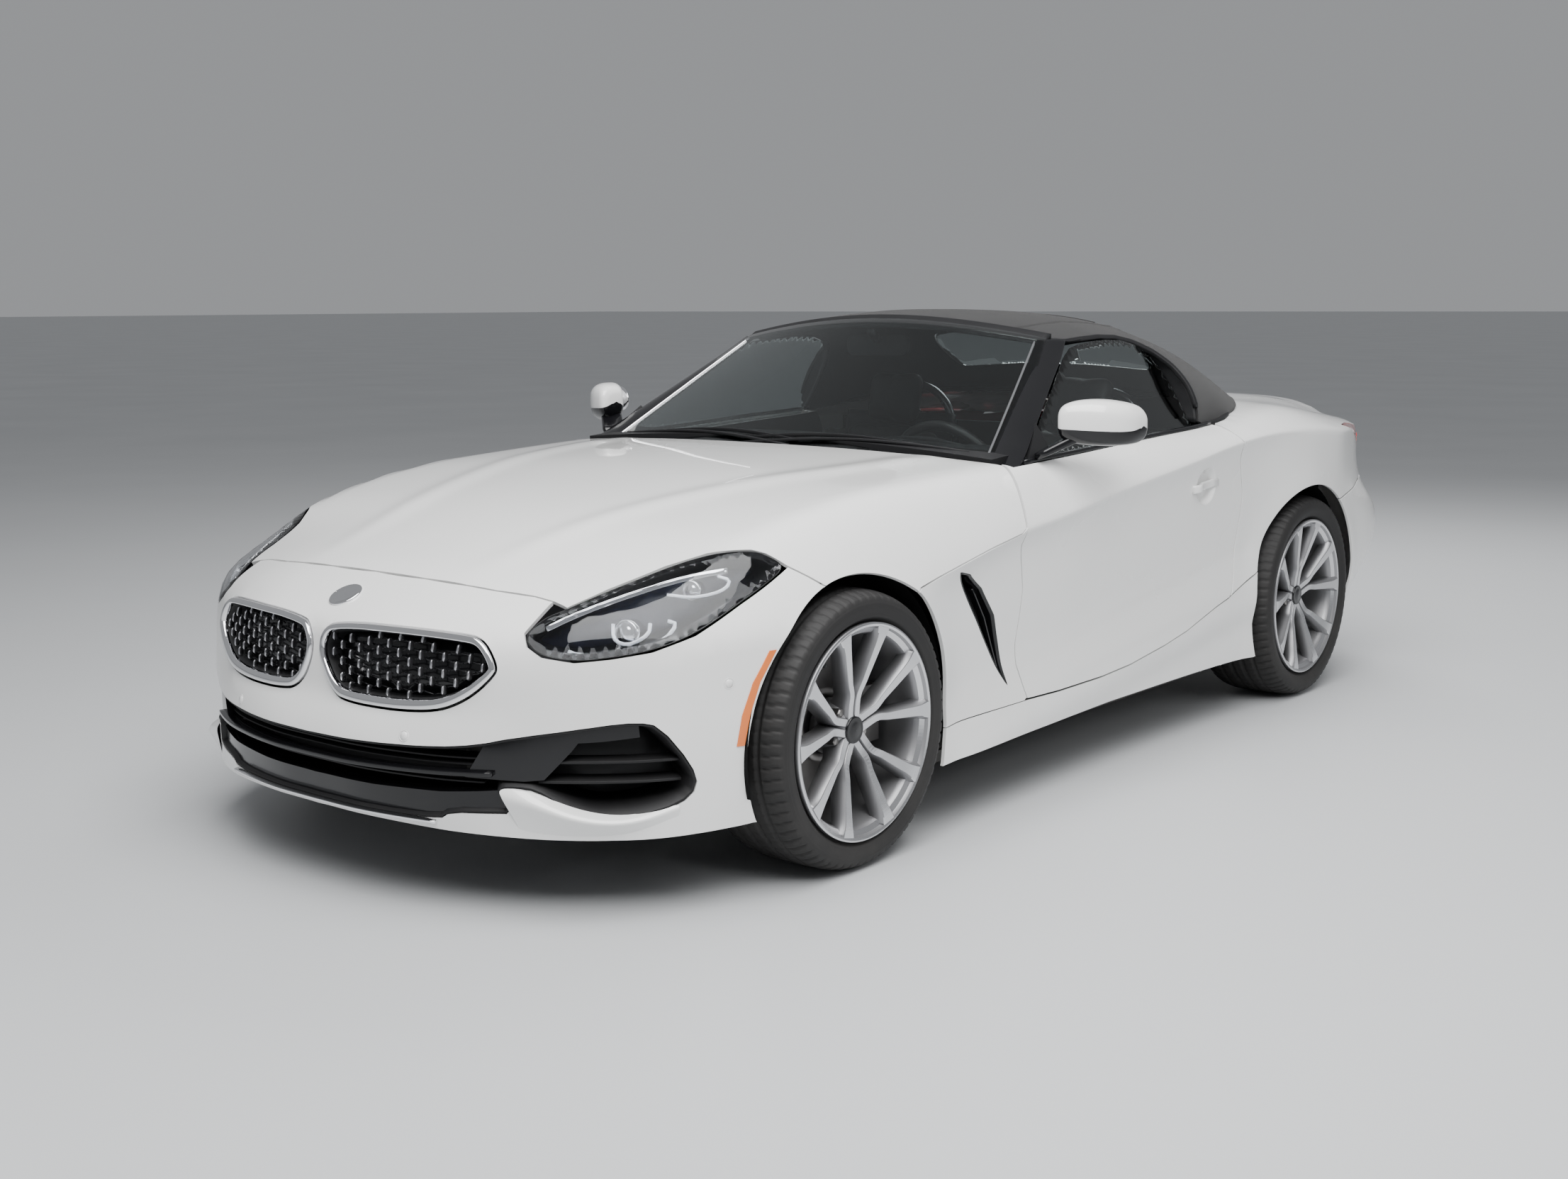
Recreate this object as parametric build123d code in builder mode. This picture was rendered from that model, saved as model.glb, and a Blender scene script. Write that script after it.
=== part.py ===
from build123d import *
import math
import os

# A two-seat roadster with a closed fabric roof, as an assembly of separate body panels, wheels and fittings.
#
# Frame: +Z up, the front faces -Y, +X is the car's left. The origin is on the floor, midway along and across.
# All sizes are in millimetres. "back" distances are measured rearward from the front axle, "rear" distances
# rearward from the rear axle.

os.makedirs("parts", exist_ok=True)

# ---------------------------------------------------------------- driving dimensions
length = 4324.0
width = 1864.0
wheelbase = 2470.0
front_overhang = 890.0
roof_height = 1292.0
front_track = 1606.0
rear_track = 1606.0
front_tyre_radius = 331.0
rear_tyre_radius = 337.0
front_tyre_width = 246.0
rear_tyre_width = 258.0
rim_radius = 256.0
rim_wall = 14.0
spoke_count = 5
disc_radius = 174.0
disc_thickness = 30.0
front_arch_radius = 366.0
rear_arch_radius = 372.0
front_well_wall = 474.0
rear_well_wall = 600.0
sill_height = 178.0
floor_height = 122.0
floor_thickness = 30.0
skin_thickness = 26.0
door_thickness = 178.0
panel_gap = 6.0
lid_gap = 8.0
seat_gap = 0.3
screen_thickness = 6.0
fabric_thickness = 16.0
pillar_width = 52.0

half_width = width / 2
front_axle = -length / 2 + front_overhang
rear_axle = front_axle + wheelbase
nose = -length / 2
tail = length / 2
cabin_half = half_width - door_thickness
far = 2 * width


def back(distance):
    """Y of a point a given distance behind the front axle."""
    return front_axle + distance


def rear(distance):
    """Y of a point a given distance behind the rear axle."""
    return rear_axle + distance


# ---------------------------------------------------------------- the lower body's outer form
# One row for each cross-section from nose to tail. "in" columns are insets from half the car's width:
# the sill's corner, the flank's waist, the crease below the shoulder, and the belt above it.
SECTIONS = [
    # y            sill_in waist_in waist_z crease_in crease_z belt_in belt_z crown_z
    (back(-900.0), 240.0, 210.0, 330.0, 250.0, 470.0, 420.0, 570.0, 596.0),
    (back(-700.0), 110.0, 70.0, 380.0, 95.0, 556.0, 330.0, 662.0, 704.0),
    (back(-450.0), 52.0, 34.0, 400.0, 44.0, 600.0, 236.0, 714.0, 772.0),
    (back(-150.0), 26.0, 14.0, 430.0, 22.0, 664.0, 180.0, 806.0, 842.0),
    (back(250.0), 24.0, 16.0, 450.0, 18.0, 660.0, 172.0, 864.0, 892.0),
    (back(740.0), 28.0, 31.0, 450.0, 27.0, 730.0, 146.0, 894.0, 930.0),
    (back(1300.0), 28.0, 36.0, 460.0, 27.0, 798.0, 136.0, 908.0, 942.0),
    (back(1950.0), 26.0, 30.0, 480.0, 20.0, 872.0, 136.0, 938.0, 976.0),
    (rear(0.0), 20.0, 8.0, 640.0, 44.0, 896.0, 170.0, 974.0, 1010.0),
    (rear(450.0), 44.0, 26.0, 600.0, 80.0, 880.0, 240.0, 956.0, 992.0),
    (rear(980.0), 150.0, 130.0, 560.0, 170.0, 850.0, 320.0, 912.0, 950.0),
]
shoulder_bulge = 15.0
body_top = 1100.0


def body_volume(inset):
    """The lower body's outer form from nose to tail, shrunk by an inset."""
    with BuildPart() as form:
        for y, sill_in, waist_in, waist_z, crease_in, crease_z, belt_in, belt_z, crown_z in SECTIONS:
            sill_x, waist_x, crease_x, belt_x = (
                half_width - gap - inset for gap in (sill_in, waist_in, crease_in, belt_in)
            )
            belt_top = belt_z - inset
            brow_x = (crease_x + belt_x) / 2 + shoulder_bulge
            brow_z = (crease_z + belt_z) / 2 + shoulder_bulge - inset
            with BuildSketch(Plane.XZ.offset(-y)):
                with BuildLine():
                    base = Line((-sill_x, sill_height + inset), (sill_x, sill_height + inset))
                    flank = ThreePointArc(base @ 1, (waist_x, waist_z), (crease_x, crease_z))
                    brow = ThreePointArc(flank @ 1, (brow_x, brow_z), (belt_x, belt_top))
                    crown = ThreePointArc(brow @ 1, (0, crown_z - inset), (-belt_x, belt_top))
                    far_brow = ThreePointArc(crown @ 1, (-brow_x, brow_z), (-crease_x, crease_z))
                    ThreePointArc(far_brow @ 1, (-waist_x, waist_z), base @ 0)
                make_face()
        loft()
        side_x = half_width - inset
        with BuildSketch(Plane.XY):
            with BuildLine():
                bow = ThreePointArc((-520, back(-775) + inset), (0, nose + inset), (520, back(-775) + inset))
                cheek_middle = (735 - inset / 2, back(-628) + inset)
                cheek = ThreePointArc(bow @ 1, cheek_middle, (side_x - 40, back(-390)))
                flare = Line(cheek @ 1, (side_x, back(-150)))
                side = Line(flare @ 1, (side_x, rear(200)))
                haunch = Line(side @ 1, (side_x - 50, rear(620)))
                corner = ThreePointArc(haunch @ 1, (775 - inset, rear(815) - inset), (520, tail - 46 - inset))
                stern = ThreePointArc(corner @ 1, (0, tail - inset), (-520, tail - 46 - inset))
                far_middle = (-775 + inset, rear(815) - inset)
                far_corner = ThreePointArc(stern @ 1, far_middle, (50 - side_x, rear(620)))
                far_haunch = Line(far_corner @ 1, (-side_x, rear(200)))
                far_side = Line(far_haunch @ 1, (-side_x, back(-150)))
                far_flare = Line(far_side @ 1, (40 - side_x, back(-390)))
                ThreePointArc(far_flare @ 1, (inset / 2 - 735, back(-628) + inset), bow @ 0)
            make_face()
        extrude(amount=body_top, mode=Mode.INTERSECT)
        with BuildSketch(Plane.YZ):
            with BuildLine():
                chin = Line((back(-790) + inset, 0), (back(-856) + inset, sill_height))
                lip = Line(chin @ 1, (nose + inset, 330))
                prow = ThreePointArc(lip @ 1, (back(-884) + inset, 440), (back(-845) + inset, 606 - inset))
                brow = Line(prow @ 1, (back(-690), 722 - inset))
                rise = Line(brow @ 1, (back(-600), body_top))
                roof = Line(rise @ 1, (rear(885) - inset, body_top))
                deck = Line(roof @ 1, (rear(885) - inset, 950))
                cut = Line(deck @ 1, (rear(905) - inset, 850))
                bumper = Line(cut @ 1, (tail - inset, 620))
                tuck = Line(bumper @ 1, (tail - 6 - inset, 480))
                sweep = Line(tuck @ 1, (rear(850) - inset, 215))
                under = Line(sweep @ 1, (rear(840) - inset, 0))
                Line(under @ 1, chin @ 0)
            make_face()
        extrude(amount=far, both=True, mode=Mode.INTERSECT)
    return form.part


def block(low, high):
    """A box between its lowest and highest corners."""
    with BuildPart() as box:
        with Locations(tuple((a + b) / 2 for a, b in zip(low, high))):
            Box(*[b - a for a, b in zip(low, high)])
    return box.part


def pair(low, high):
    """A box between two corners on the left, and its mirror image on the right."""
    with BuildPart() as boxes:
        add(block(low, high))
        mirror(about=Plane.YZ)
    return boxes.part


def side_zone(points, gap=0.0, inner=0.0):
    """A prism through both sides of the car from an outline of (Y, Z) points, grown outward by a gap."""
    with BuildPart() as prism:
        with BuildSketch(Plane.YZ):
            Polygon(*points, align=None)
            if gap:
                offset(amount=gap, kind=Kind.INTERSECTION)
        extrude(amount=far, both=True)
        if inner > 0:
            Box(2 * inner, 3 * length, 3 * length, mode=Mode.SUBTRACT)
    return prism.part


def front_zone(points, front, depth, gap=0.0):
    """A prism running rearward from an outline of (X, Z) points seen from the front, mirrored across."""
    with BuildPart() as prism:
        with BuildSketch(Plane.XZ.offset(-front)):
            Polygon(*points, align=None)
            if gap:
                offset(amount=gap, kind=Kind.INTERSECTION)
            mirror(about=Plane.YZ)
        extrude(amount=-depth)
    return prism.part


def wheel_spaces(clearance=0.0):
    """The spaces that the four wheels turn and steer in, grown by a clearance."""
    with BuildPart() as spaces:
        for y, z, radius, wall in (
            (front_axle, front_tyre_radius, front_arch_radius, front_well_wall),
            (rear_axle, rear_tyre_radius, rear_arch_radius, rear_well_wall),
        ):
            for sign in (-1, 1):
                with Locations(Location((sign * (wall - clearance + far / 2), y, z), (0, 90, 0))):
                    Cylinder(radius + clearance, far)
    return spaces.part


def panel(name, *zones, source=None, cuts=(), extra=()):
    """A piece: the source (the outer shell) inside every zone, outside every cut, with any extra solids."""
    with BuildPart() as piece:
        add(shell if source is None else source)
        for zone in zones:
            add(zone, mode=Mode.INTERSECT)
        for cut in cuts:
            add(cut, mode=Mode.SUBTRACT)
        for solid in extra:
            add(solid)
    piece.part.label = name
    export_step(piece.part, f"parts/{name}.step")
    return piece.part


arches = wheel_spaces()
outer_body = body_volume(0.0)
inner_body = body_volume(skin_thickness)
core_body = body_volume(2 * skin_thickness)
with BuildPart() as shell_builder:
    add(outer_body)
    add(inner_body, mode=Mode.SUBTRACT)
    add(arches, mode=Mode.SUBTRACT)
shell = shell_builder.part
with BuildPart() as solid_builder:
    add(outer_body)
    add(arches, mode=Mode.SUBTRACT)
solid_body = solid_builder.part

# ---------------------------------------------------------------- where the panels meet, seen from the side
crease_front = (back(203), 646)
crease_rear = (back(722), 727)
door_front = [(781, 1100), (781, 906), (729, 730), (721, 640), (738, 500), (722, 400), (754, 279)]
door_base = [(1310, 282), (1525, 308), (1847, 378), (1944, 399)]
door_back = [(1987, 488), (2019, 597), (2031, 708), (2017, 754), (1972, 932), (1972, 1100)]
DOOR_OUTLINE = [(back(y), z) for y, z in door_front + door_base + door_back]
BONNET_OUTLINE = [
    (back(-684), 1100),
    (back(-684), 690),
    (back(-640), 668),
    (back(-430), 700),
    (back(-240), 744),
    (back(-165), 709),
    (back(-101), 640),
    (back(120), 620),
    crease_front,
    (crease_rear[0] - panel_gap, crease_rear[1]),
    (back(781) - panel_gap, 906),
    (back(781) - panel_gap, 1100),
]
LAMP_OUTLINE = [
    (back(-800), 560),
    (back(-690), 655 - lid_gap),
    (back(-640), 668 - lid_gap),
    (back(-430), 700 - lid_gap),
    (back(-250), 738 - lid_gap),
    (back(-225), 700),
    (back(-300), 640),
    (back(-430), 604),
    (back(-570), 588),
    (back(-700), 578),
]
TAIL_LAMP_OUTLINE = [
    (back(2800), 900),
    (back(2950), 884),
    (back(3110), 785),
    (tail + 100, 770),
    (tail + 100, 862),
    (back(3280), 884),
    (back(2990), 902),
]
REAR_BUMPER_OUTLINE = [
    (back(2600), 0),
    (back(2600), 640),
    (back(3000), 690),
    (tail + 100, 700),
    (tail + 100, 0),
]
INTAKE_FRONT = [(0, 210), (370, 210), (430, 224), (690, 236), (716, 330), (640, 400), (470, 374), (0, 364)]
KIDNEY_FRONT = [(42, 448), (300, 436), (430, 462), (505, 546), (420, 600), (260, 616), (28, 610)]
lamp_inner = 500.0
tail_lamp_inner = 430.0
boot_half = 560.0
boot_sill = 700.0
sill_drop = 12.0
deck_front = rear(-40)
lid_front = rear(90)
skirt_top = 268.0
frame_width = 16.0
mesh_thickness = 12.0
intake_rim_width = 22.0
tunnel_half = 112.0
sill_outer = cabin_half - 10
crease_top = 740.0
undertray_rear = back(-450)

bonnet_zone = side_zone(BONNET_OUTLINE)
bonnet_space = side_zone(BONNET_OUTLINE, gap=lid_gap)
door_zone = side_zone(DOOR_OUTLINE, inner=cabin_half)
door_space = side_zone(DOOR_OUTLINE, gap=lid_gap, inner=cabin_half - panel_gap)
lamp_zone = side_zone(LAMP_OUTLINE, inner=lamp_inner)
lamp_space = side_zone(LAMP_OUTLINE, gap=seat_gap, inner=lamp_inner - seat_gap)
tail_lamp_zone = side_zone(TAIL_LAMP_OUTLINE, inner=tail_lamp_inner)
tail_lamp_space = side_zone(TAIL_LAMP_OUTLINE, gap=seat_gap, inner=tail_lamp_inner - seat_gap)
bumper_zone = side_zone(REAR_BUMPER_OUTLINE)
kidney_zone = front_zone(KIDNEY_FRONT, nose - 50, 400)
intake_zone = front_zone(INTAKE_FRONT, nose - 50, 480)
lid_zone = block((-boot_half, lid_front, boot_sill + lid_gap), (boot_half, tail + 100, 1100))
lid_space = block(
    (-boot_half - panel_gap, lid_front - panel_gap, boot_sill - sill_drop),
    (boot_half + panel_gap, tail + 200, 1100),
)
nose_zone = block((-far, nose - 100, 0), (far, front_axle, 1100))
fender_zone = block((-far, front_axle, skirt_top + seat_gap), (far, back(790), crease_top))
skirt_zone = block((-far, front_axle, 0), (far, rear_axle, skirt_top))
mid_gap = block((-cabin_half, nose, 0), (cabin_half, tail, 200))

# ---------------------------------------------------------------- fixed outer panels
well_reach = front_well_wall + 10
open_underside = block((-well_reach, undertray_rear, 0), (well_reach, front_axle + 10, 400))
panel("front_bumper", nose_zone, cuts=(bonnet_space, lamp_space, kidney_zone, intake_zone, open_underside))
between_fenders = block((-700, nose, 0), (700, tail, 1100))
panel("front_fenders", fender_zone, cuts=(bonnet_space, door_space, between_fenders))
between_sills = block((-sill_outer - 1, nose, 0), (sill_outer + 1, tail, 400))
panel("side_skirts", skirt_zone, cuts=(door_space, between_sills))
quarter_zone = block((-far, back(1700), skirt_top + seat_gap), (far, tail + 100, 1100))
ROOF_HOLE = [(cabin_half + 4, 1700), (cabin_half + 4, 1985), (690, 2090), (600, 2300), (520, 2424)]
with BuildPart() as roof_hole:
    with BuildSketch(Plane.XY.offset(800)):
        left_edge = [(x, back(y)) for x, y in ROOF_HOLE]
        Polygon(*left_edge, *[(-x, y) for x, y in reversed(left_edge)], align=None)
    extrude(amount=300)
deck_hole = roof_hole.part
deck_zone = block((-boot_half + seat_gap, deck_front, 900), (boot_half - seat_gap, lid_front, 1100))
deck_space = block((-boot_half, deck_front - seat_gap, 800), (boot_half, lid_front + seat_gap, 1100))
bumper_space = side_zone(REAR_BUMPER_OUTLINE, gap=seat_gap)
panel(
    "rear_quarters",
    quarter_zone,
    cuts=(door_space, bumper_space, tail_lamp_space, deck_hole, deck_space, lid_space, mid_gap),
)
panel("rear_deck", deck_zone, cuts=(lid_space,))
diffuser_outline = [(-430, 100), (430, 100), (430, 330), (360, 392), (-360, 392), (-430, 330)]
with BuildPart() as diffuser_block:
    with BuildSketch(Plane.XZ.offset(-rear(700))):
        Polygon(*diffuser_outline, align=None)
    extrude(amount=-500)
with BuildPart() as diffuser_space:
    with BuildSketch(Plane.XZ.offset(-rear(700 - seat_gap))):
        Polygon(*diffuser_outline, align=None)
        offset(amount=seat_gap, kind=Kind.INTERSECTION)
    extrude(amount=-500)
under_rear = block((-700, rear(100), 0), (700, rear(700), 240))
tip_x = 520.0
tip_z = 288.0
tip_gap = 5.0
TIP_OUTLINE = [(-62, -40), (62, -40), (54, 40), (-54, 40)]
tip_space = front_zone([(tip_x + x, tip_z + z) for x, z in TIP_OUTLINE], rear(600), 700, gap=tip_gap)
lid_buffer = pair((280, tail - 60, boot_sill - 20), (320, tail - 44, boot_sill + lid_gap - seat_gap))
panel("rear_bumper", bumper_zone, cuts=(diffuser_space.part, under_rear, tip_space), extra=(lid_buffer,))
panel("diffuser", diffuser_block.part)
panel("tail_lamps", tail_lamp_zone, source=solid_body, cuts=(core_body, lid_space))
panel("headlamps", lamp_zone, source=solid_body, cuts=(core_body, bonnet_space))
panel("bonnet", bonnet_zone)
panel("boot_lid", lid_zone)

# ---------------------------------------------------------------- nose openings
def nose_frame(outline, depth, inset):
    """A prism through the nose from an outline of (X, Z) points, shrunk by an inset."""
    with BuildPart() as prism:
        with BuildSketch(Plane.XZ.offset(-(nose - 50))):
            Polygon(*outline, align=None)
            offset(amount=-inset, kind=Kind.INTERSECTION)
            mirror(about=Plane.YZ)
        extrude(amount=-depth)
    return prism.part


nose_only = block((-far, nose - 100, 0), (far, back(-500), 1100))
mesh_front = body_volume(skin_thickness / 2)
mesh_back = body_volume(skin_thickness / 2 + mesh_thickness)
intake_outline = INTAKE_FRONT + [(-x, z) for x, z in reversed(INTAKE_FRONT) if x > 0]
panel("kidney_frames", nose_frame(KIDNEY_FRONT, 400, seat_gap), nose_only,
      cuts=(nose_frame(KIDNEY_FRONT, 400, frame_width),))
panel("kidney_meshes", nose_frame(KIDNEY_FRONT, 400, frame_width + seat_gap), nose_only,
      source=mesh_front, cuts=(mesh_back,))
intake_rim = nose_frame(intake_outline, 480, seat_gap)
intake_hole = nose_frame(intake_outline, 480, intake_rim_width)
intake_net = nose_frame(intake_outline, 480, intake_rim_width / 2)
with BuildPart() as intake_mesh:
    add(mesh_front)
    add(mesh_back, mode=Mode.SUBTRACT)
    add(intake_net, mode=Mode.INTERSECT)
    add(nose_only, mode=Mode.INTERSECT)
panel("intake_grille", intake_rim, nose_only, cuts=(intake_hole,), extra=(intake_mesh.part,))

# ---------------------------------------------------------------- floor pan, sills, bulkheads and boot tub
SOLID_BLOCKS = [
    # left and right boxes: low corner, high corner
    ((0, back(420), floor_height), (sill_outer, back(2160), floor_height + floor_thickness)),
    ((640, back(640), floor_height), (sill_outer, back(2100), 360)),
    ((sill_outer - 10, back(420), sill_height), (half_width - 60, rear(-400), skirt_top - 30)),
    ((0, back(560), floor_height), (cabin_half - 20, back(600), 860)),
    ((0, back(2080), floor_height), (cabin_half - 20, back(2120), 900)),
    ((0, back(560), floor_height), (tunnel_half, back(2120), 380)),
    ((640, back(600), floor_height), (cabin_half - 12, back(780) - seat_gap, 870)),
    ((380, back(-740), 300), (452, back(600), 420)),
    ((380, back(-420), 300), (466, back(-180), 640)),
    ((0, back(-760), 380), (460, back(-720), 420)),
    ((380, back(-880), 380), (452, back(-700), 420)),
    ((0, back(2120), 330), (590, rear(840), 350)),
    ((560, back(2120), 330), (590, rear(840), 640)),
    ((0, rear(820), 330), (590, rear(840), 640)),
]
with BuildPart() as pan_envelope:
    add(inner_body)
    add(block((-sill_outer, back(420), floor_height), (sill_outer, back(2170), 300)))
with BuildPart() as floor_pan:
    for low, high in SOLID_BLOCKS:
        add(block(low, high))
    mirror(about=Plane.YZ)
    add(pan_envelope.part, mode=Mode.INTERSECT)
    add(arches, mode=Mode.SUBTRACT)
    add(door_space, mode=Mode.SUBTRACT)
    with Locations((0, back(1350), floor_height)):
        Box(2 * (tunnel_half - floor_thickness), 2200, 2 * 110, mode=Mode.SUBTRACT)
floor_pan.part.label = "floor_pan"
export_step(floor_pan.part, "parts/floor_pan.step")

# ---------------------------------------------------------------- windscreen, its frame and the soft top
screen_slope = 1.551
screen_base_y = back(747)
screen_base_z = 905.0
screen_corner_y = back(890)
screen_corner_x = 745.0
screen_lean = 0.596
screen_low = 872.0
screen_high = 1290.0
header_corner_z = 1206.0
header_crown_z = 1262.0
header_half = 562.0


def screen_band(outset, front, rearward, low=screen_low, high=screen_high):
    """A raked, curved band between two heights: outset beyond the glass's side edges, and its Y thickness."""
    with BuildPart() as band:
        for z in (low, high):
            centre = screen_base_y + screen_slope * (z - screen_base_z)
            corner_x = screen_corner_x - screen_lean * (z - screen_base_z)
            side_x = corner_x + outset
            side_y = centre + (screen_corner_y - screen_base_y) * (side_x / corner_x) ** 2
            with BuildSketch(Plane.XY.offset(z)):
                with BuildLine():
                    ends_y = side_y + front
                    arc = ThreePointArc((-side_x, ends_y), (0, centre + front), (side_x, ends_y))
                    edge = Line(arc @ 1, (side_x, side_y + rearward))
                    back_arc = ThreePointArc(edge @ 1, (0, centre + rearward), (-side_x, side_y + rearward))
                    Line(back_arc @ 1, arc @ 0)
                make_face()
        loft(ruled=True)
    return band.part


def crown_prism(drop):
    """Everything below the arched top edge of the windscreen header, lowered by a drop."""
    with BuildPart() as prism:
        with BuildSketch(Plane.XZ.offset(-back(400))):
            with BuildLine():
                arch = ThreePointArc(
                    (-header_half, header_corner_z - drop),
                    (0, header_crown_z - drop),
                    (header_half, header_corner_z - drop),
                )
                left = Line(arch @ 1, (900, header_corner_z - drop - 220))
                down = Line(left @ 1, (900, 0))
                base = Line(down @ 1, (-900, 0))
                up = Line(base @ 1, (-900, header_corner_z - drop - 220))
                Line(up @ 1, arch @ 0)
            make_face()
        extrude(amount=-1200)
    return prism.part


screen_frame_outer = screen_band(pillar_width / 2, -4, 44)
screen_hole = screen_band(-pillar_width / 2, -60, 120)
header_drop = 50.0
with BuildPart() as screen_opening:
    add(screen_hole)
    add(crown_prism(header_drop), mode=Mode.INTERSECT)
windscreen_frame = panel(
    "windscreen_frame", crown_prism(0), source=screen_frame_outer, cuts=(screen_opening.part, outer_body)
)
panel("windscreen", crown_prism(header_drop + seat_gap),
      source=screen_band(-pillar_width / 2 - seat_gap, 0, screen_thickness), cuts=(outer_body,))
cowl_zone = block((-cabin_half + 2, back(781), 700), (cabin_half - 2, back(905), 1100))
panel("cowl", cowl_zone)

# One row for each cross-section of the closed roof: Y, half width and height of its foot, of its shoulder,
# and the height of its crown.
TOP_SECTIONS = [
    # y           foot_x foot_z shoulder_x shoulder_z crown_z
    (back(1060.0), 792.0, 880.0, 590.0, 1120.0, 1230.0),
    (back(1350.0), 800.0, 880.0, 612.0, 1170.0, roof_height - 16),
    (back(1600.0), 800.0, 890.0, 622.0, 1190.0, roof_height),
    (back(1850.0), 795.0, 900.0, 620.0, 1180.0, roof_height - 6),
    (back(2080.0), 778.0, 920.0, 600.0, 1140.0, 1258.0),
    (back(2300.0), 740.0, 940.0, 546.0, 1084.0, 1192.0),
    (back(2440.0), 690.0, 950.0, 490.0, 1036.0, 1110.0),
    (back(2540.0), 610.0, 950.0, 420.0, 992.0, 1034.0),
]


def roof_volume(inset):
    """The closed roof's outer form, shrunk by an inset."""
    with BuildPart() as form:
        for y, foot_x, foot_z, shoulder_x, shoulder_z, crown_z in TOP_SECTIONS:
            foot = (foot_x - inset, foot_z - 40)
            shoulder = (shoulder_x - inset, shoulder_z - inset)
            bulge = ((foot[0] + shoulder[0]) / 2 + 12, (foot[1] + shoulder[1]) / 2)
            with BuildSketch(Plane.XZ.offset(-y)):
                with BuildLine():
                    base = Line((-foot[0], foot[1]), foot)
                    flank = ThreePointArc(base @ 1, bulge, shoulder)
                    crown = ThreePointArc(flank @ 1, (0, crown_z - inset), (-shoulder[0], shoulder[1]))
                    ThreePointArc(crown @ 1, (-bulge[0], bulge[1]), base @ 0)
                make_face()
        loft()
    return form.part


GLASS_OUTLINE = [
    (back(876), 860),
    (back(876), 905),
    (back(1330), 1160),
    (back(1445), 1182),
    (back(1632), 1198),
    (back(1793), 1184),
    (back(1869), 1128),
    (back(1884), 1039),
    (back(1878), 860),
]
glass_foot_x = 791.0
glass_foot_z = 905.0
glass_lean = 0.61
glass_top = 1260.0
rear_window_half = 330.0
rear_window_front = back(2120)
rear_window_rear = back(2400)

glass_zone = side_zone(GLASS_OUTLINE)
glass_space = side_zone(GLASS_OUTLINE, gap=lid_gap, inner=500.0)
roof_outer = roof_volume(0.0)
roof_inner = roof_volume(fabric_thickness)
header_space = screen_band(300, -900, 44 + seat_gap, low=700.0, high=1400.0)
window_hole = block(
    (-rear_window_half, rear_window_front, 900), (rear_window_half, rear_window_rear, 1400)
)
window_zone = block(
    (-rear_window_half + seat_gap, rear_window_front + seat_gap, 900),
    (rear_window_half - seat_gap, rear_window_rear - seat_gap, 1400),
)
door_top_space = block((-far, nose, 0), (far, back(1878) + lid_gap, 1030))
panel("soft_top", source=roof_outer,
      cuts=(roof_inner, outer_body, header_space, windscreen_frame, glass_space, window_hole, door_top_space))
window_source = roof_volume(fabric_thickness / 3)
panel("rear_window", window_zone, source=window_source, cuts=(roof_volume(fabric_thickness),))

# ---------------------------------------------------------------- doors, their glass and the mirrors
with BuildPart() as door_pair:
    add(solid_body)
    add(door_zone, mode=Mode.INTERSECT)
with BuildPart() as glass_pair:
    with BuildSketch(Plane.XZ.offset(-back(860))):
        low_x = glass_foot_x + glass_lean * 60
        high_x = glass_foot_x - glass_lean * (glass_top - glass_foot_z)
        Polygon(
            (low_x, glass_foot_z - 60),
            (high_x, glass_top),
            (high_x - screen_thickness, glass_top),
            (low_x - screen_thickness, glass_foot_z - 60),
            align=None,
        )
        mirror(about=Plane.YZ)
    extrude(amount=-1100)
    add(glass_zone, mode=Mode.INTERSECT)
    add(outer_body, mode=Mode.SUBTRACT)
MIRROR_SECTIONS = [
    # x      y            z       long   tall   corner
    (862.0, back(1030.0), 1000.0, 106.0, 84.0, 34.0),
    (940.0, back(1052.0), 1002.0, 118.0, 96.0, 42.0),
    (1008.0, back(1100.0), 996.0, 80.0, 60.0, 28.0),
]
mirror_stalk = ((790, back(985), 925), (866, back(1035), 968))
with BuildPart() as mirror_pair:
    for x, y, z, long, tall, corner in MIRROR_SECTIONS:
        with BuildSketch(Plane.YZ.offset(x)):
            with Locations((y, z)):
                RectangleRounded(long, tall, corner)
    loft()
    add(block(*mirror_stalk))
    add(block((790, back(985), 880), (812, back(1035), 930)))
    mirror(about=Plane.YZ)
    add(outer_body, mode=Mode.SUBTRACT)
    add(glass_pair.part, mode=Mode.SUBTRACT)
for side, sign in (("left", 1), ("right", -1)):
    half = block((min(0, sign * far), nose - 100, 0), (max(0, sign * far), tail + 100, 1500))
    panel(f"door_{side}", half, source=door_pair.part)
    panel(f"door_glass_{side}", half, source=glass_pair.part)
    panel(f"mirror_{side}", half, source=mirror_pair.part)

# ---------------------------------------------------------------- cabin fittings
seat_x = 372.0
wheel_hub_y = back(1150)
wheel_hub_z = 790.0
column_tilt = 24.0
steering_wheel_radius = 184.0
grip_radius = 16.0
column_radius = 26.0

DASH_PROFILE = [(780, 560), (1010, 600), (1050, 700), (1040, 800), (960, 862), (800, 872)]
with BuildPart() as dashboard:
    with BuildSketch(Plane.YZ):
        Polygon(*[(back(y), z) for y, z in DASH_PROFILE], align=None)
    extrude(amount=cabin_half - 24, both=True)
    add(inner_body, mode=Mode.INTERSECT)
dashboard.part.label = "dashboard"
export_step(dashboard.part, "parts/dashboard.step")

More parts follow.
